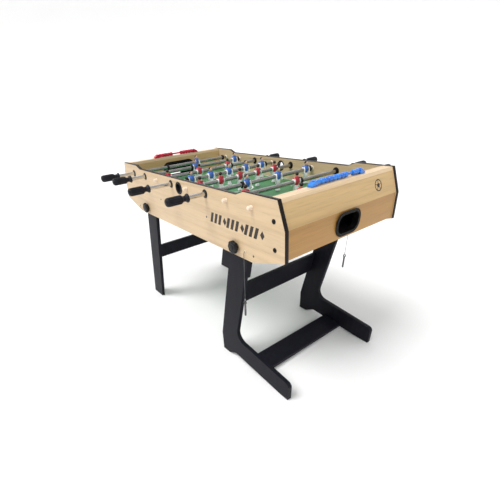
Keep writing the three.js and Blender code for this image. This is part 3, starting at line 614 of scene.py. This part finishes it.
def make_cabinet():
    for side_name, side in SIDES.items():
        finish_cad(f"{side_name}_side_panel", SIDE_WOOD)
        add_black(edge_moulding(f"{side_name}_edge_moulding", side))
        for end_name, end in ENDS.items():
            corner = f"{side_name}_{end_name}"
            for i, (x, z) in enumerate(BOLT_PLACES):
                bolt = make_bolt(f"{corner}_bolt_{i + 1}", CENTRE_X + end * x, z, side)
                add_black(bolt)
            for i, (x, z) in enumerate(SCREW_PLACES):
                screw = make_screw(f"{corner}_screw_{i + 1}", CENTRE_X + end * x, z, side)
                add(screw, "cabinet")
    for end_name, end in ENDS.items():
        finish_cad(f"{end_name}_top_rail", RAIL_WOOD)
        finish_cad(f"{end_name}_upper_end_board", END_WOOD)
        finish_cad(f"{end_name}_lower_end_board", LOWER_WOOD_PAINTED_SHADE)
        finish_cad(f"{end_name}_goal_wall", END_WOOD)
        finish_cad(f"{end_name}_ball_return_cup", CUP_BLACK, 0.8 * MM)
        make_goal_trim(end_name, end)
        make_goal_painted_shade_sheet(end_name, end)
    finish_cad("playfield", FIELD_GREEN)


def end_board_plane(end_name, end):
    """The upper end board's outer face: its foot, its way up, its way out and its height."""
    low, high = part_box(f"{end_name}_upper_end_board")
    outer_x, inner_x = (high.x, low.x) if end > 0 else (low.x, high.x)
    foot = Vector((outer_x, 0, low.z))
    top = Vector((inner_x + end * BOARD_THICKNESS, 0, high.z))
    slope = (top - foot).normalized()
    return foot, slope, Vector((slope.z * end, 0, -slope.x * end)), high.z - low.z


def make_goal_painted_shade_sheet(end_name, end):
    """Painted shade: a dark sheet on the upper end board's inner face, behind the goal mouth,
    standing in for the shade inside the goal.
    """
    foot, slope, out, rise = end_board_plane(end_name, end)
    half, corner = 105 * MM, 20 * MM
    low, high = rise * 0.10, rise * 0.72
    outline = rounded([(-half, low), (half, low), (half, high, corner), (-half, high, corner)])
    rings = []
    for depth in (BOARD_THICKNESS + 0.8 * MM, BOARD_THICKNESS + 1.8 * MM):
        rings.append([foot + slope * v + Vector((0, u, 0)) - out * depth for u, v in outline])
    points, faces = stack_rings(rings)
    painted_shade_sheet = piece(f"{end_name}_goal_painted_shade_sheet", points, faces, BLACK_PLASTIC)
    add_black(painted_shade_sheet)


def make_goal_trim(end_name, end):
    """A black frame round the goal mouth on the field's side of its wall, and a hood behind."""
    low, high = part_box(f"{end_name}_goal_wall")
    face = high.x if end < 0 else low.x
    lip, proud, hood_depth = 9 * MM, 3 * MM, 3 * MM

    def mouth(grow):
        half, top, corner = GOAL_WIDTH / 2 + grow, FIELD_Z + GOAL_HEIGHT + grow, GOAL_CORNER + grow
        foot = FIELD_Z + 0.4 * MM
        return rounded([(-half, foot), (half, foot), (half, top, corner), (-half, top, corner)], 10)

    out = -end * proud
    trim = ring_band(f"{end_name}_goal_trim", [
        (mouth(lip), face), (mouth(lip), face + out * 0.5), (mouth(lip - 1 * MM), face + out),
        (mouth(0), face + out), (mouth(-1 * MM), face + out * 0.5),
        (mouth(-1 * MM), face - out * 6),
        (mouth(0), face - out * 6), (mouth(0), face)], "x", BLACK_PLASTIC)
    add_black(trim)
    back = low.x if end < 0 else high.x
    hood_end = back + end * hood_depth
    outside, inside = mouth(3 * MM), mouth(1.4 * MM)
    shroud = ring_band(f"{end_name}_goal_shroud", [
        (inside, back), (outside, back), (outside, hood_end), (inside, hood_end)],
        "x", BLACK_PLASTIC)
    add_black(shroud)


def strip(points, width, closed=False):
    """The left and right edges of a painted strip along a path in X and Y."""
    left, right = [], []
    count = len(points)
    for i, p in enumerate(points):
        before = points[i - 1] if (i > 0 or closed) else p
        after = points[(i + 1) % count] if (i < count - 1 or closed) else p
        way = (Vector(after) - Vector(before)).normalized()
        side = Vector((-way.y, way.x)) * width / 2
        left.append(Vector(p) + side)
        right.append(Vector(p) - side)
    return left, right


def arc(x, y, radius, start, end, steps=32):
    """Points along an arc between two angles in degrees."""
    turns = [radians(start + (end - start) * k / steps) for k in range(steps + 1)]
    return [(x + radius * cos(t), y + radius * sin(t)) for t in turns]


def field_line_paths():
    """Each printed line: its path about the field's middle, whether it is closed, and its width."""
    border = 10 * MM
    half_x = (field_high.x - field_low.x) / 2 - border
    half_y = field_high.y - border
    paths = [
        ([(0, -half_y), (0, half_y)], False, HALFWAY_WIDTH),
        ([(-half_x, -half_y), (half_x, -half_y), (half_x, half_y), (-half_x, half_y)], True,
         LINE_WIDTH),
        (arc(0, 0, 78 * MM, 0, 360, 64)[:-1], True, LINE_WIDTH),
        (arc(0, 0, 3 * MM, 0, 360, 16)[:-1], True, LINE_WIDTH),
    ]
    corner_starts = {(1, 1): 180, (-1, 1): 270, (-1, -1): 0, (1, -1): 90}
    for end in (-1, 1):
        for depth, half in ((150 * MM, 170 * MM), (62 * MM, 106 * MM)):
            x = end * (half_x - depth)
            paths.append(([(end * half_x, -half), (x, -half), (x, half), (end * half_x, half)],
                          False, LINE_WIDTH))
        middle = 180 if end > 0 else 0
        paths.append((arc(end * (half_x - 116 * MM), 0, 62 * MM, middle - 57, middle + 57),
                      False, LINE_WIDTH))
        for side in (-1, 1):
            start = corner_starts[(end, side)]
            paths.append((arc(end * half_x, side * half_y, 26 * MM, start, start + 90, 16),
                          False, LINE_WIDTH))
    return paths


def make_field_lines():
    """The field's printed white lines, as thin paint. Each lies a little above the one before."""
    points, faces = [], []
    for i, (path, closed, width) in enumerate(field_line_paths()):
        left, right = strip(path, width, closed)
        level = FIELD_Z + (PAINT_LIFT + PAINT_STEP * i) * MM
        base = len(points)
        for p, q in zip(left, right):
            points += [(CENTRE_X + p.x, p.y, level), (CENTRE_X + q.x, q.y, level)]
        count = len(left)
        for k in range(count if closed else count - 1):
            a, b = base + 2 * k, base + 2 * ((k + 1) % count)
            faces.append((a, a + 1, b + 1, b))
    mesh = bpy.data.meshes.new("field_lines")
    mesh.from_pydata(points, [], faces)
    mesh.materials.append(LINE_WHITE)
    obj = linked("field_lines", mesh)
    thick = obj.modifiers.new("paint", "SOLIDIFY")
    thick.thickness = PAINT_THICKNESS
    thick.offset = 0
    add(obj, "cabinet")


# Rods and players


def superellipse(x, y, z, half_x, half_y, power):
    sides = 24
    ring = []
    for k in range(sides):
        turn = 2 * pi * k / sides
        c, s = cos(turn), sin(turn)
        ring.append(((x + half_x * copysign(abs(c) ** (2 / power), c)) * MM,
                     (y + half_y * copysign(abs(s) ** (2 / power), s)) * MM, z * MM))
    return ring


def loft(name, sections, material):
    """A closed body through level sections: (z, x, y, half x, half y, power), in mm."""
    rings = [superellipse(x, y, z, half_x, half_y, power)
             for z, x, y, half_x, half_y, power in sections]
    points, faces = stack_rings(rings)
    return piece(name, points, faces, material, 60)


def ball(x, y, z, rx, ry, rz, material, power=2, rows=10):
    """A rounded body from its middle and its half sizes, in mm."""
    sections = []
    for k in range(rows + 1):
        turn = pi * (k / rows - 0.5)
        size = max(cos(turn), 0.06)
        sections.append((z + rz * sin(turn), x, y, rx * size, ry * size, power))
    return loft("ball", sections, material)


def make_player_mesh(team):
    """A moulded player that faces +X, with the rod through its chest along Y."""
    shirt = TEAM_SHIRT[team]
    parts = [
        loft("boots", [
            (-58, 1.2, 0, 6.4, 9.4, 4), (-57.2, 1.2, 0, 7.2, 10.2, 4), (-54, 1.2, 0, 7.2, 10.2, 4),
            (-51, 0.4, 0, 5.8, 9.6, 3.5), (-47.5, 0, 0, 4.4, 8.8, 3)], BOOT),
        loft("shorts", [
            (-30, 0, 0, 6.0, 11.4, 3.2), (-29.4, 0, 0, 7.0, 12.2, 3.2), (-24, 0, 0, 7.2, 12, 3),
            (-16, 0, 0, 7.0, 11.2, 2.8), (-10, 0, 0, 7.2, 10, 2.6)], WHITE_PAINT),
        loft("torso", [
            (-12.6, 0, 0, 6.2, 9.4, 2.8), (-12, 0, 0, 7.6, 9.2, 2.8), (-6, 0, 0, 9.2, 9.6, 2.8),
            (0, 0, 0, 10.6, 10.2, 2.8), (6, 0.2, 0, 10.2, 11.2, 2.8), (11, 0.2, 0, 7.6, 12.4, 2.6),
            (15, 0, 0, 6.2, 12, 2.4), (18, 0, 0, 4.6, 8, 2.2), (19.6, 0, 0, 3.8, 4.6, 2)], shirt),
        loft("neck", [(17, 0, 0, 4.2, 4.4, 2), (23, 0.4, 0, 3.8, 4, 2)], SKIN),
        ball(0.8, 0, 26.6, 6.9, 6.5, 8.6, SKIN, 2.15),
        ball(-0.9, 0, 28.9, 7.4, 7.6, 7.1, HAIR, 2.1),
        ball(7.5, 0, 25.9, 1.2, 1.0, 1.7, SKIN),
        loft("mouth", [(22.6, 6.3, 0, 0.9, 1.7, 2), (23.2, 6.4, 0, 0.9, 1.9, 2)], FEATURE_PAINT),
    ]
    for side in (-1, 1):
        parts.append(loft("leg", [
            (-50, 0.6, 4.9 * side, 3.8, 3.9, 2.2), (-45, 0, 5 * side, 3.6, 3.7, 2.2),
            (-37, -0.8, 5.2 * side, 4.7, 4.6, 2.2), (-31, 0, 5.2 * side, 4.2, 4.4, 2.2),
            (-26, 0, 5.3 * side, 4.8, 4.9, 2.2)], WHITE_PAINT))
        parts.append(loft("sleeve", [
            (11.4, -1.0, 13.6 * side, 6.8, 3.4, 2.6), (12.2, -1.0, 13.4 * side, 7.4, 3.7, 2.6),
            (14, -0.8, 12.6 * side, 6.6, 3.6, 2.6), (16.2, -0.4, 11.4 * side, 5.2, 3.4, 2.4),
            (18.2, 0, 9.8 * side, 3.2, 2.8, 2.2)], shirt))
        parts.append(loft("forearm", [
            (-16, 7.0, 15.2 * side, 3.2, 2.8, 2.2), (-14.6, 6.8, 15.6 * side, 5.2, 4.0, 2.4),
            (-11.5, 5.6, 15.8 * side, 6.8, 4.2, 2.4), (-7.5, 2.8, 15.7 * side, 8.2, 3.6, 2.6),
            (-3, 0.4, 15.6 * side, 9.8, 3.2, 2.8), (3, -0.2, 15.3 * side, 10.0, 3.2, 2.8),
            (9, -0.8, 14.5 * side, 8.4, 3.4, 2.6), (13, -0.8, 13.0 * side, 6.8, 3.2, 2.6)],
            WHITE_PAINT))
        parts.append(ball(6.9, 2.5 * side, 27.6, 0.8, 0.95, 0.8, FEATURE_PAINT, 2, 6))
        parts.append(ball(0.4, 6.7 * side, 26.4, 1.4, 1.0, 2.0, SKIN, 2, 6))
    figure = joined(f"{team}_player", parts)
    mesh = figure.data
    bpy.data.objects.remove(figure)
    return mesh


def grip_profile(length):
    """A handle's (distance from its root, radius): a flared collar, a waist and a long barrel."""
    sections = [
        (0, HANDLE_BORE), (0, 13.6), (0.8, 15.4), (2.4, 16), (4.6, 15.7), (7.5, 13.6), (11, 11.2),
        (15, 10.1), (19, 10), (22, 10.5), (25.5, 13), (29, 15.1), (32, 15.8), (36, 16), (44, 16),
        (54, 16), (64, 16), (74, 16), (80, 15.9), (84, 15.2), (87.4, 13.4), (90, 10.6), (91.4, 7),
        (HANDLE_LENGTH, 3)]
    stretch = length / (HANDLE_LENGTH * MM)
    return [(y * MM * stretch, r * MM) for y, r in sections]


def make_handle(name, low, high, side):
    """A fluted grip, hollow for most of its length, on the tube's outer end."""
    length = high.y - low.y
    flutes = 14

    def flute(turn, y):
        share = y / length
        window = max(0, min(1, (share - 0.33) / 0.06, (0.94 - share) / 0.06))
        return 1 - 0.075 * window * (0.5 + 0.5 * cos(flutes * turn)) ** 1.6

    bottom = length * 0.75
    profile = grip_profile(length) + [(length, 0), (bottom, 0), (bottom, HANDLE_BORE * MM)]
    grip = turned(name, profile, GRIP_BLACK, flutes * 10, closed=True, scale=flute, angle=50)
    root = low.y if side > 0 else high.y
    return seated(grip, side, (low.x + high.x) / 2, (low.z + high.z) / 2, root)


def flange_bushing(name, x, z, side, bore):
    """A flanged plastic bushing through a side panel, with a flange on each face."""
    radius, thick = 16 * MM, 2.4 * MM
    half = PANEL_THICKNESS / 2
    shoulder, rim = radius - 0.7 * MM, radius - 2.5 * MM
    profile = [
        (-half - thick, bore), (-half - thick, rim), (-half - thick * 0.6, shoulder),
        (-half, radius), (-half, bore + 0.2 * MM), (half, bore + 0.2 * MM), (half, radius),
        (half + thick * 0.6, shoulder), (half + thick, rim), (half + thick, bore)]
    ring = turned(name, profile, BLACK_PLASTIC, 48, closed=True)
    return moved(ring, x, side * (OUTER_Y + INNER_Y) / 2, z)


def inner_bushing(name, x, z, side, bore):
    """The inner flange of the bushing that the shaft turns in."""
    radius, thick = 11 * MM, 1.4 * MM
    profile = [(0, bore), (0, radius), (thick * 0.4, radius - 0.7 * MM),
               (thick, radius - 2.5 * MM), (thick, bore)]
    ring = turned(name, profile, CREAM_PLASTIC, 48, closed=True)
    return seated(ring, -side, x, z, side * INNER_Y)


# One rubber bumper, as (y, radius) in mm: two ridges with a groove between them
BUMPER_PROFILE = ((0.1, 8.05), (0.1, 11.4), (1.2, 12.8), (2.4, 13), (4, 12.6), (5, 11.8),
                  (6, 12.6), (7.6, 13), (8.8, 12.8), (9.9, 11.4), (9.9, 8.05))


def make_rod(index, player_meshes):
    """One rod's tube with its bumpers, players and grip, its inner shaft and its two bushings."""
    name = f"rod_{index + 1}"
    handle_low, handle_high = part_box(f"{name}_handle")
    tube_low, tube_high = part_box(f"{name}_tube_with_players")
    shaft_low, shaft_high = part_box(f"{name}_shaft")
    side = FAR if handle_high.y > 0 else NEAR
    x = (shaft_low.x + shaft_high.x) / 2
    z = (shaft_low.z + shaft_high.z) / 2
    team = TEAMS[index]
    slide = next(j for j in frame["joints"] if j["name"] == f"{name}_slide")
    low_travel, high_travel = slide["range_m"]
    middle = -(low_travel + high_travel) / 2
    count = PLAYERS[index]
    spacing = (2 * INNER_Y - PLAYER_ROW_MARGIN) / count

    inner_end = tube_low.y if side > 0 else -tube_high.y
    outer_end = tube_high.y if side > 0 else -tube_low.y
    # Painted light: outside the cabinet the tube takes a brighter copy of the chrome, and the part
    # inside the box keeps the darker one as painted shade
    painted_light_start = OUTER_Y + 2 * MM
    tube = turned(f"{name}_tube", [
        (inner_end, TUBE_BORE), (inner_end, 7.7 * MM), (inner_end + TUBE_EASE, TUBE_RADIUS),
        (painted_light_start, TUBE_RADIUS), (outer_end - TUBE_EASE, TUBE_RADIUS), (outer_end, 7.7 * MM),
        (outer_end, TUBE_BORE)], CHROME, 48, closed=True)
    tube.data.materials.append(CHROME_PAINTED_LIGHT)
    for face in tube.data.polygons:
        face.material_index = int(face.center.y > painted_light_start)
    seated(tube, side, x, z)
    add(tube, f"{name}_tube", [f"{name}_tube_with_players"])
    bumpers = (inner_end, 2 * middle - inner_end - BUMPER_LENGTH)
    for k, start in enumerate(bumpers):
        rubber = turned(f"{name}_bumper_{k + 1}", in_mm(BUMPER_PROFILE), BLACK_RUBBER, 40,
                        closed=True)
        centre = start + BUMPER_LENGTH / 2
        moved(rubber, 0, -BUMPER_LENGTH / 2)
        moved(rubber, x, side * centre, z)
        add(rubber, f"{name}_tube")
    for k in range(count):
        along = middle + (k - (count - 1) / 2) * spacing
        man = linked(f"{name}_player_{k + 1}", player_meshes[team])
        turn = 0 if team == "blue" else pi
        man.matrix_world = Matrix.Translation((x, side * along, z)) @ Matrix.Rotation(turn, 4, "Z")
        add(man, f"{name}_tube")
    grip = make_handle(f"{name}_grip", handle_low, handle_high, side)
    add(grip, f"{name}_tube", [f"{name}_handle"])
    make_shaft(name, side, x, z, shaft_low, shaft_high)
    outer = flange_bushing(f"{name}_bushing", x, z, side, TUBE_RADIUS + 0.25 * MM)
    add_black(outer)
    inner = inner_bushing(f"{name}_end_bushing", x, z, -side, 7.8 * MM)
    add_black(inner)


def make_shaft(name, side, x, z, low, high):
    """The inner rod with its retaining collar and the plastic cap outside the panel."""
    tip = max(abs(low.y), abs(high.y))
    collar = -(INNER_Y - 0.3 * MM)
    radius, rim, ease = 7.5 * MM, 7.1 * MM, 1 * MM
    shaft = turned(f"{name}_inner_rod", [
        (-OUTER_Y, 0), (-OUTER_Y, SHAFT_RADIUS), (collar, SHAFT_RADIUS), (collar, rim),
        (collar + 0.4 * MM, radius), (collar + 2.6 * MM, radius), (collar + 3 * MM, rim),
        (collar + 3 * MM, SHAFT_RADIUS), (tip - ease, SHAFT_RADIUS), (tip, SHAFT_RADIUS - ease),
        (tip, 0)], CHROME, 40)
    seated(shaft, side, x, z)
    add(shaft, f"{name}_shaft", [f"{name}_shaft"])
    cap = turned(f"{name}_end_cap", in_mm([
        (-0.3, 6.35), (-0.3, 7.4), (-2, 7.4), (-3, 6.7), (-14, 6.5), (-16.4, 5.6), (-17.6, 4),
        (-18.1, 2), (-18.2, 0)]), CREAM_PLASTIC, 40)
    moved(cap, 0, -OUTER_Y)
    seated(cap, side, x, z)
    add(cap, f"{name}_shaft")


def make_rods():
    meshes = {team: make_player_mesh(team) for team in ("blue", "red")}
    for index in range(len(PLAYERS)):
        make_rod(index, meshes)


# Legs, knobs, rings, scorers and printed marks


def make_legs():
    for side_name in SIDES:
        finish_cad(f"{side_name}_l_leg", BLACK_BOARD, 0.8 * MM)
        finish_cad(f"{side_name}_straight_leg", BLACK_BOARD, 0.8 * MM)
    for node in ("l_frame_upper_stretcher", "l_frame_lower_stretcher", "straight_frame_stretcher"):
        finish_cad(node, BLACK_BOARD, 0.8 * MM)


def make_knob(side_name, side, end_name):
    """A lobed clamping knob with a raised hub, and its threaded stud."""
    node = f"{side_name}_{end_name}_knob"
    low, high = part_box(node)
    x, z = (low.x + high.x) / 2, (low.z + high.z) / 2
    outer = max(abs(low.y), abs(high.y))
    inner = min(abs(low.y), abs(high.y))
    base = OUTER_Y + 0.6 * MM
    depth = outer - base
    lobes = 8

    def lobe(turn, y):
        share = max(0, min(1, (y - 4.5 * MM) / (2 * MM), (depth + 1.0 * MM - y) / (3 * MM)))
        return 1 - 0.085 * share * (0.5 - 0.5 * cos(lobes * turn)) ** 2

    profile = [
        (0, 5.2), (0, 17.4), (0.6, 18), (4.4, 18.3), (5.2, 20.5), (5.9, 23.4), (7, 24.7),
        (8.5, 25.2), (13, 25.2), (15.4, 24.6), (17.2, 23), (18.5, 20), (19, 16.5), (19.1, 14.2),
        (18.5, 13.4), (18.4, 12.4), (19.2, 11.6), (19.9, 9.5), (20.1, 5), (20.2, 0)]
    body = turned(f"{node}_grip", in_mm(profile), BLACK_PLASTIC, lobes * 12, scale=lobe, angle=50)
    moved(body, 0, base)
    seated(body, side, x, z)
    add(body, node, [node])
    threads = []
    root, crest, pitch = 4.4 * MM, 4.95 * MM, 1.25 * MM
    y = inner
    while y < OUTER_Y - 1 * MM:
        threads += [(y, root), (y + 0.5 * MM, crest), (y + 1.0 * MM, root)]
        y += pitch
    stud = turned(f"{node}_stud", [(inner, 0), (inner, 3.8 * MM), *threads, (base + 2 * MM, root),
                                   (base + 2 * MM, 0)], ZINC, 24)
    seated(stud, side, x, z)
    add(stud, node)


def make_entry_ring(side_name, side):
    """The ball entry: a flanged ring through the panel with an inner lip."""
    node = f"{side_name}_ball_entry_ring"
    low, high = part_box(node)
    x, z = (low.x + high.x) / 2, (low.z + high.z) / 2
    bore = 18 * MM
    outer = OUTER_Y + 3.2 * MM
    profile = [
        (INNER_Y - 2 * MM, bore + 0.6 * MM), (INNER_Y - 2 * MM, 22.6 * MM),
        (INNER_Y - 1.2 * MM, 23.6 * MM), (INNER_Y, 24 * MM), (INNER_Y, 20.6 * MM),
        (OUTER_Y, 20.6 * MM), (OUTER_Y, 25 * MM), (OUTER_Y + 1.6 * MM, 24.9 * MM),
        (outer - 0.5 * MM, 24 * MM), (outer, 22.6 * MM), (outer, 20.4 * MM),
        (outer - 0.6 * MM, 18.9 * MM), (outer - 2 * MM, bore), (INNER_Y - 1.2 * MM, bore)]
    ring = turned(f"{side_name}_entry_ring", profile, BLACK_PLASTIC, 64, closed=True)
    seated(ring, side, x, z)
    add(ring, "cabinet", [node])


# One scorer bead, as (y, radius) in mm from its low end
BEAD_PROFILE = ((0, 5.4), (0.5, 6.8), (1.6, 8.2), (3.2, 8.9), (5.4, 9), (12, 9), (14.2, 8.9),
                (15.8, 8.2), (16.9, 6.8), (17.4, 5.4))


def make_scorer(team):
    """A scorer on a top rail: two brackets, the rod between them and two stacks of beads."""
    rail_low, rail_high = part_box(f"{team}_scorer_rail")
    x = (rail_low.x + rail_high.x) / 2
    material = TEAM_PLASTIC[team]
    beads_low, beads_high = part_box(f"{team}_scorer_near_beads")
    rod_z = (beads_low.z + beads_high.z) / 2
    half = rail_high.y
    base = TOP_Z + 0.2 * MM
    rise = rail_high.z
    pieces = []
    bracket_length, bracket_half_width = 28 * MM, 11 * MM
    for side in SIDES.values():
        tip = side * half
        root = tip - side * bracket_length
        outline = rounded([(tip, base), (root, base), (root, rise, 2 * MM),
                           (tip - side * 17 * MM, rise, 7 * MM), (tip, base + 6 * MM, 4 * MM)], 6)
        block = prism("block", outline, x - bracket_half_width, x + bracket_half_width, "x",
                      material)
        pieces.append(bevel(block, 2.2 * MM, 4))
        cap = turned("cap", in_mm([(0, 0), (0, 5.2), (1, 5.6), (2.4, 5.2), (2.8, 0)]), material, 28)
        cap.data.transform(Matrix.Rotation(radians(90), 4, "X"))
        moved(cap, x, tip - side * 19 * MM, rise - 0.8 * MM)
        pieces.append(cap)
    reach, rod_radius = half - 12 * MM, 4 * MM
    rod = turned("rod", [(-reach, 0), (-reach, rod_radius), (reach, rod_radius), (reach, 0)],
                 material, 28)
    pieces.append(moved(rod, x, 0, rod_z))
    rail = joined(f"{team}_scorer_frame", pieces)
    add(rail, "cabinet", [f"{team}_scorer_rail"])
    for side_name in SIDES:
        node = f"{team}_scorer_{side_name}_beads"
        low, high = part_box(node)
        length = high.y - low.y
        count = BEAD_COUNTS[team][side_name]
        pitch = (length - BEAD_LENGTH) / (count - 1)
        profile = [(0, BEAD_BORE)]
        for k in range(count):
            profile += [(k * pitch + y * MM, r * MM) for y, r in BEAD_PROFILE]
            if pitch > BEAD_LENGTH + 1 * MM and k < count - 1:
                profile += [(k * pitch + BEAD_LENGTH, SPACER_RADIUS),
                            ((k + 1) * pitch, SPACER_RADIUS)]
        profile.append((length, BEAD_BORE))
        stack = turned(f"{node}_stack", profile, material, 40, closed=True, angle=40)
        moved(stack, x, low.y, rod_z)
        add(stack, node, [node])


def make_side_marks():
    """A plain printed row on each side panel: slanted bars, with a diamond after every third."""
    start, end, low, high = 221 * MM, 522 * MM, 651 * MM, 689 * MM
    count = 12
    pitch = (end - start) / count
    lean = 12 * MM
    middle = (low + high) / 2
    for side_name, side in SIDES.items():
        shapes = []
        for k in range(count):
            left = start + k * pitch
            if k % 4 == 3:
                half = pitch * 0.42
                centre = left + pitch * 0.46 + lean / 2
                outline = [(centre - half, middle), (centre, low + 4 * MM), (centre + half, middle),
                           (centre, high - 4 * MM)]
            else:
                right = left + pitch * 0.6
                outline = [(left, low), (right, low), (right + lean, high), (left + lean, high)]
            outline = [(CENTRE_X + (x if side < 0 else -x), z) for x, z in outline]
            shapes.append(prism("bar", outline, side * OUTER_Y, side * (OUTER_Y + 0.15 * MM), "y",
                                PRINT_BLACK))
        add_black(joined(f"{side_name}_printed_bars", shapes))


def make_end_marks():
    """A small printed ball on each upper end board: a ring with a pentagon and five seams."""
    for end_name, end in ENDS.items():
        face, slope, out, rise = end_board_plane(end_name, end)
        across = Vector((0, end, 0))
        centre = face + slope * rise * 0.60 + Vector((0, end * 187 * MM, 0))
        radius = 21 * MM
        points, faces = [], []

        def patch(outline):
            base = len(points)
            for level in (0.02 * MM, 0.17 * MM):
                points.extend([centre + across * u + slope * v + out * level for u, v in outline])
            count = len(outline)
            faces.append(tuple(range(base + count, base + 2 * count)))
            faces.append(tuple(reversed(range(base, base + count))))
            for k in range(count):
                j = (k + 1) % count
                faces.append((base + k, base + j, base + count + j, base + count + k))

        def spoke(turn, r0, r1, width):
            c, s = cos(turn), sin(turn)
            patch([(r * c - w * s, r * s + w * c) for r, w in
                   ((r0, width), (r0, -width), (r1, -width), (r1, width))])

        def at(r, turn):
            return r * cos(turn), r * sin(turn)

        steps = 40
        ring_inside = 0.84 * radius
        for k in range(steps):
            a, b = 2 * pi * k / steps, 2 * pi * (k + 1) / steps
            patch([at(radius, a), at(radius, b), at(ring_inside, b), at(ring_inside, a)])
        corners = [pi / 2 + 2 * pi * k / 5 for k in range(5)]
        patch([at(0.42 * radius, t) for t in corners])
        for t in corners:
            spoke(t, 0.38 * radius, 0.86 * radius, 1.1 * MM)
        obj = piece(f"{end_name}_printed_ball", points, faces, PRINT_BLACK)
        add_black(obj)


# Stage


def make_stage():
    """A pale floor that curves up far behind the table, an even world and two soft suns."""
    floor_points = [(t, 0.0) for t in (-14, -8, -4, 0, 4, 6)]
    for a in range(6, 91, 6):
        turn = radians(a)
        floor_points.append((6 + 3 * sin(turn), 3 - 3 * cos(turn)))
    floor_points += [(9, 8), (9, 14)]
    away = Vector((-0.827, 0.562, 0))
    across = Vector((0.562, 0.827, 0))
    points, faces = [], []
    for t, rise in floor_points:
        for u in (-22, 22):
            points.append(away * t + across * u + Vector((0, 0, rise - 0.0005)))
    for k in range(len(floor_points) - 1):
        faces.append((2 * k, 2 * k + 1, 2 * k + 3, 2 * k + 2))
    mesh = bpy.data.meshes.new("floor")
    mesh.from_pydata(points, [], faces)
    mesh.shade_smooth()
    floor = linked("floor", mesh)
    nodes = Nodes("floor_paint")
    cloud = nodes.noise((0.6, 0.6, 0.6), 3)
    nodes.colour(nodes.ramp(cloud, (0.3, grey(0.88)), (0.7, grey(0.90))))
    nodes.roughness(cloud, 0.75, 0.85)
    floor.data.materials.append(nodes.material)
    world = bpy.data.worlds.new("studio")
    world.use_nodes = True
    background = world.node_tree.nodes["Background"].inputs
    background["Color"].default_value = (1.0, 1.0, 1.0, 1)
    background["Strength"].default_value = 0.50
    bpy.context.scene.world = world
    bpy.context.scene.view_settings.view_transform = "Standard"
    lamps = (("key", (-0.30, -0.85, 1.45), 30, 2.3), ("fill", (1.0, -0.25, 0.9), 40, 0.8))
    for name, place, angle, power in lamps:
        data = bpy.data.lights.new(name, "SUN")
        data.angle = radians(angle)
        data.energy = power
        lamp = linked(name, data)
        lamp.location = Vector(place) * 3
        lamp.rotation_euler = (-Vector(place)).to_track_quat("-Z", "Y").to_euler()


make_camera()
make_lanyards()
make_cabinet()
make_field_lines()
make_rods()
make_legs()
for side_name, side in SIDES.items():
    make_entry_ring(side_name, side)
    for end_name in ENDS:
        make_knob(side_name, side, end_name)
make_scorer("red")
make_scorer("blue")
make_side_marks()
make_end_marks()
make_stage()
